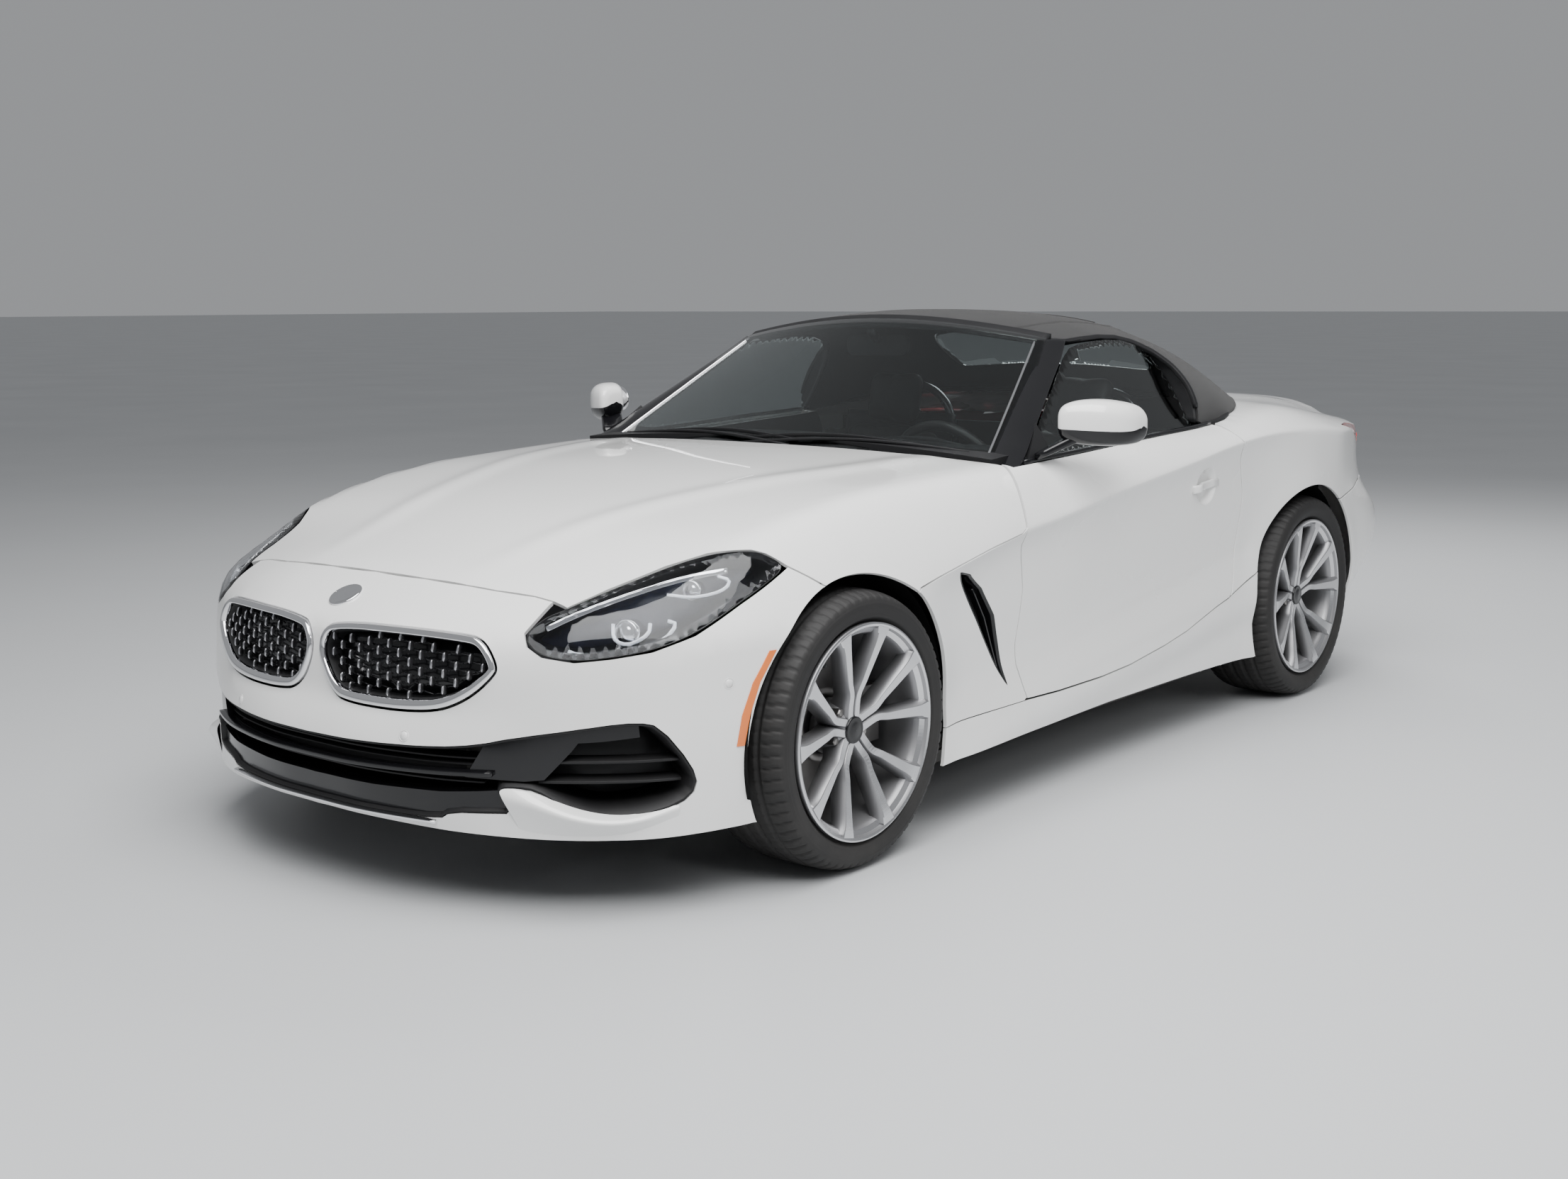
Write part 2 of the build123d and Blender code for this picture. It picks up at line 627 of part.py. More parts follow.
CUSHION = [(1280, 300), (1250, 420), (1290, 462), (1500, 440), (1700, 410), (1740, 300)]
BACKREST = [(1700, 410 + seat_gap), (1790, 300), (1960, 820), (1935, 900), (1850, 900), (1800, 640)]
headrest_low = 900 + seat_gap
HEADREST = [(1870, headrest_low), (1925, headrest_low), (1950, 1060), (1925, 1085), (1885, 1080), (1868, 1040)]
with BuildPart() as seats:
    for outline, half_seat in ((CUSHION, 250.0), (BACKREST, 245.0), (HEADREST, 120.0)):
        with BuildSketch(Plane.YZ.offset(seat_x)):
            Polygon(*[(back(y), z) for y, z in outline], align=None)
        extrude(amount=half_seat, both=True)
    rail_low = floor_height + floor_thickness + seat_gap
    add(block((seat_x - 200, back(1300), rail_low), (seat_x + 200, back(1740), 300)))
    mirror(about=Plane.YZ)
seats.part.label = "seats"
export_step(seats.part, "parts/seats.step")

column_plane = Plane(
    origin=(seat_x, wheel_hub_y, wheel_hub_z),
    x_dir=(1, 0, 0),
    z_dir=Vector(0, 1, 0).rotate(Axis.X, column_tilt),
)
with BuildPart() as steering_wheel:
    with BuildSketch(column_plane.offset(-grip_radius)):
        Circle(steering_wheel_radius + grip_radius)
        Circle(steering_wheel_radius - grip_radius, mode=Mode.SUBTRACT)
    extrude(amount=2 * grip_radius)
    with BuildSketch(column_plane.offset(-grip_radius)):
        Circle(62)
        Rectangle(2 * steering_wheel_radius, 46)
        with Locations((0, -steering_wheel_radius / 2)):
            Rectangle(40, steering_wheel_radius)
    extrude(amount=2 * grip_radius)
steering_wheel.part.label = "steering_wheel"
export_step(steering_wheel.part, "parts/steering_wheel.step")

with BuildPart() as steering_column:
    with BuildSketch(column_plane.offset(-grip_radius - seat_gap)):
        Circle(column_radius)
    extrude(amount=-300)
    add(dashboard.part, mode=Mode.SUBTRACT)
    add(block((-far, nose, 0), (far, back(960), 1500)), mode=Mode.SUBTRACT)
column_piece = max(steering_column.part.solids(), key=lambda solid: solid.center().Y)
panel("steering_column", source=column_piece)

# ---------------------------------------------------------------- engine, axles and exhaust
with BuildPart() as engine_block:
    add(block((-250, back(-130), 250), (250, back(470), 560)))
    add(block((-190, back(-130), 560), (190, back(470), 690)))
    chamfer(engine_block.faces().sort_by(Axis.Z)[-1].edges(), 24)
    add(block((250, back(20), 330), (380 - seat_gap, back(120), 380)))
    add(block((seat_gap - 380, back(20), 330), (-250, back(120), 380)))
panel("engine_block", source=engine_block.part)

hub_radius = 62.0
carrier_inner_x = front_track / 2 - 106.0
carrier_outer_x = front_track / 2 - 72.0
disc_inner_x = front_track / 2 - 58.0
disc_outer_x = disc_inner_x + disc_thickness
caliper_gap = 6.0
caliper_reach = 200.0
turntable_radius = front_track / 2 - carrier_inner_x


def carrier(sign, y, z, caliper_side, turntable):
    """A hub carrier with its brake caliper, beside the inner face of one wheel's disc."""
    low_y, high_y = sorted((y + caliper_side * 36, y + caliper_side * caliper_reach))
    with BuildPart() as piece:
        add(block((carrier_inner_x - 20, y - 44, z - 150), (carrier_outer_x, y + 44, z + 130)))
        if turntable:
            with BuildSketch(Plane.XY):
                with Locations((front_track / 2, y)):
                    Circle(turntable_radius)
            extrude(amount=1000, mode=Mode.INTERSECT)
        add(block((carrier_inner_x + 4, low_y, z - 70), (disc_outer_x + 34, high_y, z + 70)))
        with BuildSketch(Plane.YZ.offset(disc_inner_x - caliper_gap)):
            with Locations((y, z)):
                Circle(disc_radius + caliper_gap)
        extrude(amount=disc_thickness + 2 * caliper_gap, mode=Mode.SUBTRACT)
        with BuildSketch(Plane.YZ.offset(carrier_outer_x)):
            with Locations((y, z)):
                Circle(hub_radius + caliper_gap)
        extrude(amount=400, mode=Mode.SUBTRACT)
        if sign < 0:
            mirror(about=Plane.YZ, mode=Mode.REPLACE)
    return piece.part


for side, sign in (("left", 1), ("right", -1)):
    panel(f"front_hub_carrier_{side}", source=carrier(sign, front_axle, front_tyre_radius, 1, True))

arm_low = front_tyre_radius - 148
arm_half = 26.0
arm_tall = 34.0
rail_low = 300.0
with BuildPart() as front_subframe:
    add(block((0, front_axle - 60, 200), (470, front_axle + 60, 240)))
    add(block((390, front_axle - 40, 200), (446, front_axle + 40, rail_low - seat_gap)))
    arm_high = arm_low + arm_tall
    add(block((440, front_axle - arm_half, arm_low), (carrier_outer_x, front_axle + arm_half, arm_high)))
    mirror(about=Plane.YZ)
    for sign in (-1, 1):
        with BuildSketch(Plane.XY):
            with Locations((sign * front_track / 2, front_axle)):
                Circle(turntable_radius + seat_gap)
        extrude(amount=1000, mode=Mode.SUBTRACT)
panel("front_subframe", source=front_subframe.part)

boot_floor = 330.0
beam_low = rear_tyre_radius - 100
with BuildPart() as rear_axle_beam:
    add(block((0, rear_axle - 80, beam_low), (430, rear_axle + 80, beam_low + 64)))
    add(block((0, rear_axle - 110, beam_low), (110, rear_axle + 110, boot_floor - seat_gap)))
    add(block((400, rear_axle - arm_half, beam_low), (carrier_outer_x, rear_axle + arm_half, beam_low + 40)))
    mirror(about=Plane.YZ)
    add(carrier(1, rear_axle, rear_tyre_radius, -1, False))
    add(carrier(-1, rear_axle, rear_tyre_radius, -1, False))
panel("rear_axle", source=rear_axle_beam.part)

with BuildPart() as exhaust:
    with BuildSketch(Plane.XZ.offset(-(tail - 260))):
        with Locations((tip_x, tip_z)):
            Polygon(*TIP_OUTLINE, align=None)
    extrude(amount=-210)
    with BuildSketch(Plane.XZ.offset(-(tail - 200))):
        with Locations((tip_x, tip_z)):
            Polygon(*TIP_OUTLINE, align=None)
            offset(amount=-5, kind=Kind.INTERSECTION)
    extrude(amount=-200, mode=Mode.SUBTRACT)
    add(block((0, tail - 470, 206), (440, tail - 290, boot_floor - seat_gap)))
    add(block((430, tail - 400, 256), (560, tail - 259, boot_floor - seat_gap)))
    add(block((0, back(2166), 186), (36, tail - 460, 224)))
    mirror(about=Plane.YZ)
panel("exhaust", source=exhaust.part)

# ---------------------------------------------------------------- wheels
spoke_width = 26.0
spoke_depth = 34.0
spoke_spread = 15.0
face_x = 96.0
flange = 17.0
rim_half = 119.0


def tyre_profile(radius, half_tread):
    """A tyre's section as (X, radius) points from the inner bead round the tread to the outer bead."""
    bead = rim_radius - flange
    right = [
        (rim_half - 14, bead),
        (rim_half - 14, rim_radius + 1),
        (half_tread, (rim_radius + radius) / 2),
        (half_tread - 12, radius - 12),
        (half_tread - 34, radius),
    ]
    return right + [(-x, r) for x, r in reversed(right)]


def tyre(name, sign, track, y, radius, tyre_width):
    """One tyre, a closed ring round the rim."""
    with BuildPart() as piece:
        with BuildSketch(Plane.XZ):
            Polygon(*tyre_profile(radius, tyre_width / 2), align=None)
        revolve(axis=Axis.X)
    placed = Pos(sign * track / 2, y, radius) * piece.part
    panel(name, source=placed)


def wheel(name, sign, track, y, radius):
    """One rim with its spokes, hub and brake disc; its outer face looks away from the car."""
    bead = rim_radius - flange
    with BuildPart() as piece:
        with BuildSketch(Plane.XZ):
            Polygon(
                (-rim_half, bead - rim_wall),
                (rim_half, bead - rim_wall),
                (rim_half, rim_radius),
                (rim_half - 14 + seat_gap, rim_radius),
                (rim_half - 14 + seat_gap, bead - seat_gap),
                (-rim_half + 14 - seat_gap, bead - seat_gap),
                (-rim_half + 14 - seat_gap, rim_radius),
                (-rim_half, rim_radius),
                align=None,
            )
        revolve(axis=Axis.X)
        with BuildSketch(Plane.YZ.offset(-72 + seat_gap)):
            Circle(hub_radius)
        extrude(amount=72 + face_x)
        with BuildSketch(Plane.YZ.offset(-58)):
            Circle(disc_radius)
        extrude(amount=disc_thickness)
        with BuildSketch(Plane.YZ.offset(face_x - spoke_depth)):
            for index in range(spoke_count):
                for lean in (-1, 1):
                    angle = 90 + index * 360 / spoke_count
                    root = (44 * math.cos(math.radians(angle)), 44 * math.sin(math.radians(angle)))
                    tip_angle = math.radians(angle + lean * spoke_spread)
                    tip = ((bead - 8) * math.cos(tip_angle), (bead - 8) * math.sin(tip_angle))
                    with BuildLine():
                        run = Line(root, tip)
                    mid = run @ 0.5
                    turn = math.degrees(math.atan2(tip[1] - root[1], tip[0] - root[0]))
                    with Locations(Location((mid.X, mid.Y), turn)):
                        Rectangle(run.length, spoke_width)
        extrude(amount=spoke_depth)
    turned = piece.part if sign > 0 else Rot(0, 0, 180) * piece.part
    panel(name, source=Pos(sign * track / 2, y, radius) * turned)


for side, sign in (("left", 1), ("right", -1)):
    tyre(f"front_tyre_{side}", sign, front_track, front_axle, front_tyre_radius, front_tyre_width)
    tyre(f"rear_tyre_{side}", sign, rear_track, rear_axle, rear_tyre_radius, rear_tyre_width)
    wheel(f"front_wheel_{side}", sign, front_track, front_axle, front_tyre_radius)
    wheel(f"rear_wheel_{side}", sign, rear_track, rear_axle, rear_tyre_radius)
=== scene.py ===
# %% [markdown]
# # A white two-seat roadster with its black fabric roof up
# The measured model gives the frame: every piece made here is in metres, in that same frame, with the car's
# front towards -Y, its left side towards +X and the floor at Z = 0. Each real part of the car is one piece.

# %% Load the measured model
import math
import bmesh
import bpy
import numpy as np
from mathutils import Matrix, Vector
from mathutils.geometry import delaunay_2d_cdt


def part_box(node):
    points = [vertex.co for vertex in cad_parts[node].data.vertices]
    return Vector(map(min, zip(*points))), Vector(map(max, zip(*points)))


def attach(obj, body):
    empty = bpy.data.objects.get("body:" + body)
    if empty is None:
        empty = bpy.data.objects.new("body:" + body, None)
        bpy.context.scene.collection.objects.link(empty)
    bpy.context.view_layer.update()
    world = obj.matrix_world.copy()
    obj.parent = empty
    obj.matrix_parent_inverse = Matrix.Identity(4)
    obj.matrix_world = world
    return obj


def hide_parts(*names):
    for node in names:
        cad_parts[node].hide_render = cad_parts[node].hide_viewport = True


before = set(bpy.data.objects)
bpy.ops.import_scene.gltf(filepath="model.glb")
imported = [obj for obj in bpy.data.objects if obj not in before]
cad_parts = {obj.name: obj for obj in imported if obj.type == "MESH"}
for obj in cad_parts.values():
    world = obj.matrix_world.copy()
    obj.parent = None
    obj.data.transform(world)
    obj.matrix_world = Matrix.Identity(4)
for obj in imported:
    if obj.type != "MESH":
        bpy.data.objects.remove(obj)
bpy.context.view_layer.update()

SIDES = ((1, "left"), (-1, "right"))

# %% [markdown]
# ## Reading places from the frame
# The axles and wheels are read from the measured nodes, and each moving piece rides on its measured body.
# Distances along the car are given as "station", metres behind the front axle.

# %% Axles and wheels
def node_box(name):
    """The lowest and highest corners of a measured node."""
    low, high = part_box(name)
    return np.array(low), np.array(high)


def node_centre(name):
    """The middle of a measured node's box."""
    low, high = node_box(name)
    return (low + high) / 2


FRONT_HUB = node_centre("front_tyre_left")
REAR_HUB = node_centre("rear_tyre_left")
FRONT_AXLE = FRONT_HUB[1]
WHEELBASE = REAR_HUB[1] - FRONT_AXLE
FRONT_ARCH = 0.366
REAR_ARCH = 0.372
HANDLE = (1.790, 0.757)  # station and height of the middle of the door handle's dish
DISH_STRETCH = 1.12
print("front axle", FRONT_AXLE, "wheelbase", round(WHEELBASE, 3))

# %% [markdown]
# ## Finishes
# Each finish is a small node tree. Effects that several finishes share are node groups, made once: a fine
# grain, a film of dust that gathers low down, and a woven cloth. A group only puts out masks and heights,
# and the shader itself stays in each material.

# %% Shared effects
def effect(name, inputs, outputs):
    """An empty shader node group with named number inputs and outputs; returns it and its two end nodes."""
    group = bpy.data.node_groups.new(name, "ShaderNodeTree")
    group.interface.new_socket("Vector", in_out="INPUT", socket_type="NodeSocketVector")
    for label, value in inputs.items():
        socket = group.interface.new_socket(label, in_out="INPUT", socket_type="NodeSocketFloat")
        socket.default_value = value
    for label in outputs:
        group.interface.new_socket(label, in_out="OUTPUT", socket_type="NodeSocketFloat")
    return group, group.nodes.new("NodeGroupInput"), group.nodes.new("NodeGroupOutput")


def sum_node(tree, operation, first, second, clamp=False):
    """A Math node; each operand is a socket or a number."""
    node = tree.nodes.new("ShaderNodeMath")
    node.operation = operation
    node.use_clamp = clamp
    for index, operand in enumerate((first, second)):
        if isinstance(operand, (int, float)):
            node.inputs[index].default_value = operand
        else:
            tree.links.new(operand, node.inputs[index])
    return node.outputs[0]


def noise_node(tree, vector, scale, detail=3.0, roughness=0.5):
    """A noise from 0 to 1 over the given coordinates."""
    node = tree.nodes.new("ShaderNodeTexNoise")
    tree.links.new(vector, node.inputs["Vector"])
    if isinstance(scale, (int, float)):
        node.inputs["Scale"].default_value = scale
    else:
        tree.links.new(scale, node.inputs["Scale"])
    node.inputs["Detail"].default_value = detail
    node.inputs["Roughness"].default_value = roughness
    return node.outputs["Fac"]


grain, start, end = effect("fine grain", {"Scale": 900.0, "Patch Scale": 6.0}, ("Height", "Patches"))
grain.links.new(noise_node(grain, start.outputs["Vector"], start.outputs["Scale"], 2.0), end.inputs["Height"])
grain.links.new(noise_node(grain, start.outputs["Vector"], start.outputs["Patch Scale"], 4.0),
                end.inputs["Patches"])

dust, start, end = effect("low dust", {"Full Height": 0.16, "Clear Height": 0.62, "Amount": 1.0}, ("Mask",))
split = dust.nodes.new("ShaderNodeSeparateXYZ")
dust.links.new(start.outputs["Vector"], split.inputs[0])
fade = dust.nodes.new("ShaderNodeMapRange")
dust.links.new(split.outputs["Z"], fade.inputs["Value"])
dust.links.new(start.outputs["Full Height"], fade.inputs["From Min"])
dust.links.new(start.outputs["Clear Height"], fade.inputs["From Max"])
fade.inputs["To Min"].default_value = 1.0
fade.inputs["To Max"].default_value = 0.0
cloud = sum_node(dust, "POWER", noise_node(dust, start.outputs["Vector"], 9.0, 6.0, 0.65), 2.0)
film = sum_node(dust, "MULTIPLY", fade.outputs["Result"], cloud)
dust.links.new(sum_node(dust, "MULTIPLY", film, start.outputs["Amount"], True), end.inputs["Mask"])

weave, start, end = effect("woven cloth", {"Threads": 520.0}, ("Height", "Fading"))
split = weave.nodes.new("ShaderNodeSeparateXYZ")
weave.links.new(start.outputs["Vector"], split.inputs[0])
along = sum_node(weave, "SINE",
                 sum_node(weave, "MULTIPLY", split.outputs["Y"], start.outputs["Threads"]), 0.0)
slant = sum_node(weave, "ADD", split.outputs["X"], split.outputs["Z"])
over = sum_node(weave, "SINE", sum_node(weave, "MULTIPLY", slant, start.outputs["Threads"]), 0.0)
weave.links.new(sum_node(weave, "MULTIPLY", along, over), end.inputs["Height"])
weave.links.new(noise_node(weave, start.outputs["Vector"], 5.0, 5.0, 0.6), end.inputs["Fading"])
print("shared effects", [group.name for group in bpy.data.node_groups])


# %% One maker for all plain finishes
FINISH = {}


def finish(name, light, dark, roughness=(0.4, 0.5), metal=0.0, coat=0.0, bump=0.02, grain_scale=900.0,
           patch_scale=6.0, dusty=0.0, effect_group=None, threads=520.0, **fixed):
    """Two colours mixed by soft patches, a roughness that drifts with them, and a fine grain in the bump."""
    material = bpy.data.materials.new(name)
    material.use_nodes = True
    tree = material.node_tree
    shader = tree.nodes["Principled BSDF"]
    place = tree.nodes.new("ShaderNodeTexCoord").outputs["Object"]
    node = tree.nodes.new("ShaderNodeGroup")
    node.node_tree = effect_group or grain
    tree.links.new(place, node.inputs["Vector"])
    if effect_group:
        node.inputs["Threads"].default_value = threads
        height, patches = node.outputs["Height"], node.outputs["Fading"]
    else:
        node.inputs["Scale"].default_value = grain_scale
        node.inputs["Patch Scale"].default_value = patch_scale
        height, patches = node.outputs["Height"], node.outputs["Patches"]
    mix = tree.nodes.new("ShaderNodeMix")
    mix.data_type = "RGBA"
    tree.links.new(patches, mix.inputs["Factor"])
    mix.inputs["A"].default_value = (*light, 1)
    mix.inputs["B"].default_value = (*dark, 1)
    colour = mix.outputs["Result"]
    drift = tree.nodes.new("ShaderNodeMapRange")
    tree.links.new(patches, drift.inputs["Value"])
    drift.inputs["To Min"].default_value, drift.inputs["To Max"].default_value = roughness
    rough = drift.outputs["Result"]
    if dusty:
        film = tree.nodes.new("ShaderNodeGroup")
        film.node_tree = dust
        film.inputs["Amount"].default_value = dusty
        tree.links.new(place, film.inputs["Vector"])
        cover = tree.nodes.new("ShaderNodeMix")
        cover.data_type = "RGBA"
        tree.links.new(film.outputs["Mask"], cover.inputs["Factor"])
        tree.links.new(colour, cover.inputs["A"])
        cover.inputs["B"].default_value = (0.30, 0.28, 0.25, 1)
        colour = cover.outputs["Result"]
        rough = sum_node(tree, "ADD", rough, sum_node(tree, "MULTIPLY", film.outputs["Mask"], 0.4), True)
    tree.links.new(colour, shader.inputs["Base Color"])
    tree.links.new(rough, shader.inputs["Roughness"])
    relief = tree.nodes.new("ShaderNodeBump")
    relief.inputs["Strength"].default_value = bump
    relief.inputs["Distance"].default_value = 0.001
    tree.links.new(height, relief.inputs["Height"])
    tree.links.new(relief.outputs["Normal"], shader.inputs["Normal"])
    shader.inputs["Metallic"].default_value = metal
    shader.inputs["Coat Weight"].default_value = coat
    shader.inputs["Coat Roughness"].default_value = 0.03
    for label, value in fixed.items():
        shader.inputs[label.replace("_", " ")].default_value = value
    FINISH[name] = material
    return material


# %% Body finishes
finish("paint", (0.86, 0.86, 0.85), (0.82, 0.82, 0.81), (0.24, 0.32), coat=1.0, bump=0.012, grain_scale=420.0,
       patch_scale=1.4, dusty=0.10)
finish("black_plastic", (0.008, 0.008, 0.009), (0.014, 0.014, 0.015), (0.46, 0.60), bump=0.12,
       grain_scale=1400.0, dusty=0.06, Specular_IOR_Level=0.3)
finish("gloss_black", (0.004, 0.004, 0.005), (0.007, 0.007, 0.008), (0.14, 0.22), coat=0.25, bump=0.006,
       Specular_IOR_Level=0.35)
finish("bright_trim", (0.88, 0.88, 0.89), (0.80, 0.80, 0.82), (0.05, 0.10), metal=1.0, bump=0.004)
finish("satin_trim", (0.50, 0.50, 0.52), (0.38, 0.38, 0.40), (0.22, 0.34), metal=1.0, bump=0.01)
finish("window_glass", (0.52, 0.56, 0.56), (0.48, 0.52, 0.52), (0.0, 0.012), bump=0.0, patch_scale=2.0,
       Transmission_Weight=1.0, IOR=1.45)
finish("lamp_lens", (0.95, 0.96, 0.97), (0.90, 0.92, 0.95), (0.0, 0.02), bump=0.0, Transmission_Weight=1.0,
       IOR=1.3)
finish("tail_lens", (0.26, 0.006, 0.010), (0.16, 0.003, 0.006), (0.08, 0.14), coat=1.0, bump=0.01)
finish("tail_glow", (0.80, 0.020, 0.018), (0.66, 0.012, 0.012), (0.16, 0.24), coat=0.8, bump=0.05,
       grain_scale=260.0)
finish("marker_lens", (0.82, 0.20, 0.012), (0.66, 0.13, 0.008), (0.16, 0.26), coat=1.0, bump=0.35,
       grain_scale=160.0)
finish("roof_fabric", (0.010, 0.010, 0.011), (0.020, 0.019, 0.019), (0.86, 0.96), bump=0.55,
       effect_group=weave, threads=2600.0, Sheen_Weight=0.12, Sheen_Roughness=0.4)
finish("wheel_alloy", (0.72, 0.72, 0.73), (0.62, 0.62, 0.64), (0.20, 0.30), metal=1.0, bump=0.05,
       grain_scale=2400.0, dusty=0.12)
finish("wheel_pocket", (0.34, 0.34, 0.35), (0.26, 0.26, 0.27), (0.34, 0.44), metal=0.75, bump=0.04,
       grain_scale=1600.0, dusty=0.2)
finish("tyre", (0.008, 0.008, 0.008), (0.014, 0.013, 0.013), (0.62, 0.76), bump=0.25, grain_scale=700.0,
       patch_scale=14.0, dusty=0.10)
finish("brake_metal", (0.42, 0.41, 0.40), (0.26, 0.25, 0.24), (0.30, 0.46), metal=1.0, bump=0.12,
       grain_scale=900.0, patch_scale=22.0, dusty=0.2)
finish("cabin_plastic", (0.010, 0.010, 0.011), (0.016, 0.016, 0.017), (0.50, 0.62), bump=0.22,
       grain_scale=800.0)
finish("cabin_leather", (0.014, 0.013, 0.013), (0.024, 0.022, 0.021), (0.40, 0.52), bump=0.3,
       grain_scale=520.0)
finish("seat_leather", (0.030, 0.028, 0.027), (0.046, 0.043, 0.041), (0.42, 0.56), bump=0.35,
       grain_scale=420.0, patch_scale=9.0)
finish("engine_metal", (0.24, 0.24, 0.25), (0.13, 0.13, 0.14), (0.42, 0.60), metal=0.7, bump=0.2,
       grain_scale=500.0)
finish("underbody", (0.030, 0.031, 0.032), (0.055, 0.054, 0.052), (0.62, 0.82), bump=0.3, grain_scale=300.0,
       dusty=0.6)
finish("exhaust_steel", (0.56, 0.55, 0.53), (0.38, 0.36, 0.34), (0.22, 0.38), metal=1.0, bump=0.06,
       patch_scale=14.0)
finish("light_guide", (0.92, 0.95, 1.0), (0.84, 0.88, 0.95), (0.18, 0.26), bump=0.02, coat=0.6)
finish("lamp_inside", (0.004, 0.007, 0.022), (0.002, 0.003, 0.008), (0.35, 0.5), bump=0.01,
       Specular_IOR_Level=0.25)
finish("plate_white", (0.78, 0.78, 0.77), (0.72, 0.72, 0.71), (0.35, 0.45), bump=0.03)
finish("arch_felt", (0.006, 0.006, 0.006), (0.012, 0.012, 0.012), (0.85, 0.95), bump=0.4, grain_scale=260.0,
       Specular_IOR_Level=0.1)
print("finishes", len(FINISH))

# %% [markdown]
# ## The skin of the car
# A pressed body is one smooth skin that is cut into panels. Its flank, top, nose and tail are four gently
# curved surfaces, and where two meet the skin rounds over. A smooth maximum of four distances says just that,
# so one formula gives the whole skin, and neighbouring panels always line up across their shut lines.

# %% Smooth curves through a few values
def through(stations, values):
    """A smooth curve through given values: cubics whose slopes are the mean of the neighbouring slopes."""
    at, value = np.array(stations, float), np.array(values, float)
    rise = np.diff(value) / np.diff(at)
    slope = np.concatenate([[rise[0]], (rise[1:] + rise[:-1]) / 2, [rise[-1]]])

    def curve(position):
        """The value at each position, held beyond both ends: Hermite cubics in the share of each span."""
        position = np.clip(position, at[0], at[-1])
        index = np.clip(np.searchsorted(at, position) - 1, 0, len(at) - 2)
        span = at[index + 1] - at[index]
        part = (position - at[index]) / span
        start = value[index] * (1 + 2 * part) * (1 - part) ** 2 + slope[index] * span * part * (1 - part) ** 2
        end = value[index + 1] * part ** 2 * (3 - 2 * part) - slope[index + 1] * span * part ** 2 * (1 - part)
        return start + end

    return curve


def smooth_step(low, high, value):
    """Rises smoothly from 0 at low to 1 at high: 3 t^2 - 2 t^3."""
    part = np.clip((value - low) / (high - low), 0, 1)
    return part * part * (3 - 2 * part)


def smooth_max(first, second, radius):
    """The larger of two values, rounded over where they are equal: (a + b + sqrt((a - b)^2 + r^2)) / 2."""
    return (first + second + np.sqrt((first - second) ** 2 + radius ** 2)) / 2


# %% The lines that shape the skin, by station
half_width = through(
    [-0.90, -0.60, -0.38, -0.15, 0.0, 0.2, 0.45, 0.75, 1.3, 1.9, 2.15, 2.35, 2.5, 2.7, 2.9, 3.1, 3.3, 3.45],
    [0.830, 0.872, 0.900, 0.920, 0.926, 0.924, 0.914, 0.906, 0.903, 0.907, 0.918, 0.928, 0.932, 0.930, 0.918,
     0.890, 0.840, 0.780],
)
crease_height = through(
    [-0.90, -0.5, -0.2, 0.0, 0.217, 0.389, 0.713, 0.88, 1.265, 1.698, 1.887, 2.138, 2.5, 2.8, 3.1, 3.45],
    [0.50, 0.56, 0.60, 0.622, 0.646, 0.672, 0.727, 0.744, 0.793, 0.843, 0.869, 0.894, 0.897, 0.873, 0.850,
     0.83],
)
crown_height = through(
    [-0.90, -0.845, -0.757, -0.67, -0.5, -0.3, -0.15, 0.1, 0.25, 0.5, 0.75, 1.0, 2.2, 2.43, 2.7, 3.0, 3.2,
     3.40],
    [0.592, 0.620, 0.661, 0.704, 0.757, 0.808, 0.838, 0.874, 0.890, 0.906, 0.918, 0.93, 0.975, 0.998, 0.995,
     0.980, 0.966, 0.962],
)
belt_half = through(
    [-0.90, -0.7, -0.45, -0.15, 0.25, 0.74, 1.3, 1.95, 2.2, 2.47, 2.9, 3.2, 3.45],
    [0.440, 0.570, 0.680, 0.748, 0.760, 0.786, 0.796, 0.796, 0.790, 0.765, 0.700, 0.64, 0.60],
)
belt_height = through(
    [-0.9, -0.7, -0.613, -0.45, -0.28, -0.136, 0.015, 0.172, 0.393, 0.689, 0.9, 1.1, 1.6, 1.92, 2.1, 2.3,
     2.45, 2.6, 2.85, 3.1, 3.3, 3.45],
    [0.560, 0.640, 0.672, 0.722, 0.787, 0.820, 0.846, 0.865, 0.878, 0.889, 0.894, 0.900, 0.920, 0.932, 0.948,
     0.967, 0.972, 0.962, 0.934, 0.908, 0.890, 0.88],
)
nose_plan = through(
    [0, 0.15, 0.3, 0.4, 0.511, 0.6, 0.7, 0.78, 0.84, 0.885, 0.915, 0.95],
    [-0.845, -0.842, -0.822, -0.800, -0.760, -0.715, -0.640, -0.56, -0.47, -0.37, -0.25, 0.1],
)
nose_lean = through(
    [0.12, 0.19, 0.25, 0.30, 0.366, 0.42, 0.45, 0.55, 0.606, 0.65, 0.75],
    [0.010, -0.012, -0.026, -0.036, -0.041, -0.022, -0.008, 0.0, 0.006, 0.03, 0.16],
)
tail_plan = through([0, 0.3, 0.5, 0.65, 0.75, 0.82, 0.87, 0.95],
                    [0, 0.012, 0.04, 0.095, 0.18, 0.29, 0.42, 0.75])
tail_profile = through(
    [0.12, 0.18, 0.30, 0.40, 0.48, 0.55, 0.62, 0.70, 0.80, 0.86, 0.95, 1.02],
    [3.31, 3.33, 3.36, 3.40, 3.426, 3.434, 3.432, 3.41, 3.385, 3.372, 3.372, 3.38],
)
tail_corner = through([0.12, 0.30, 0.42, 0.55, 0.70, 0.90], [1.0, 0.92, 0.66, 0.58, 1.0, 1.0])
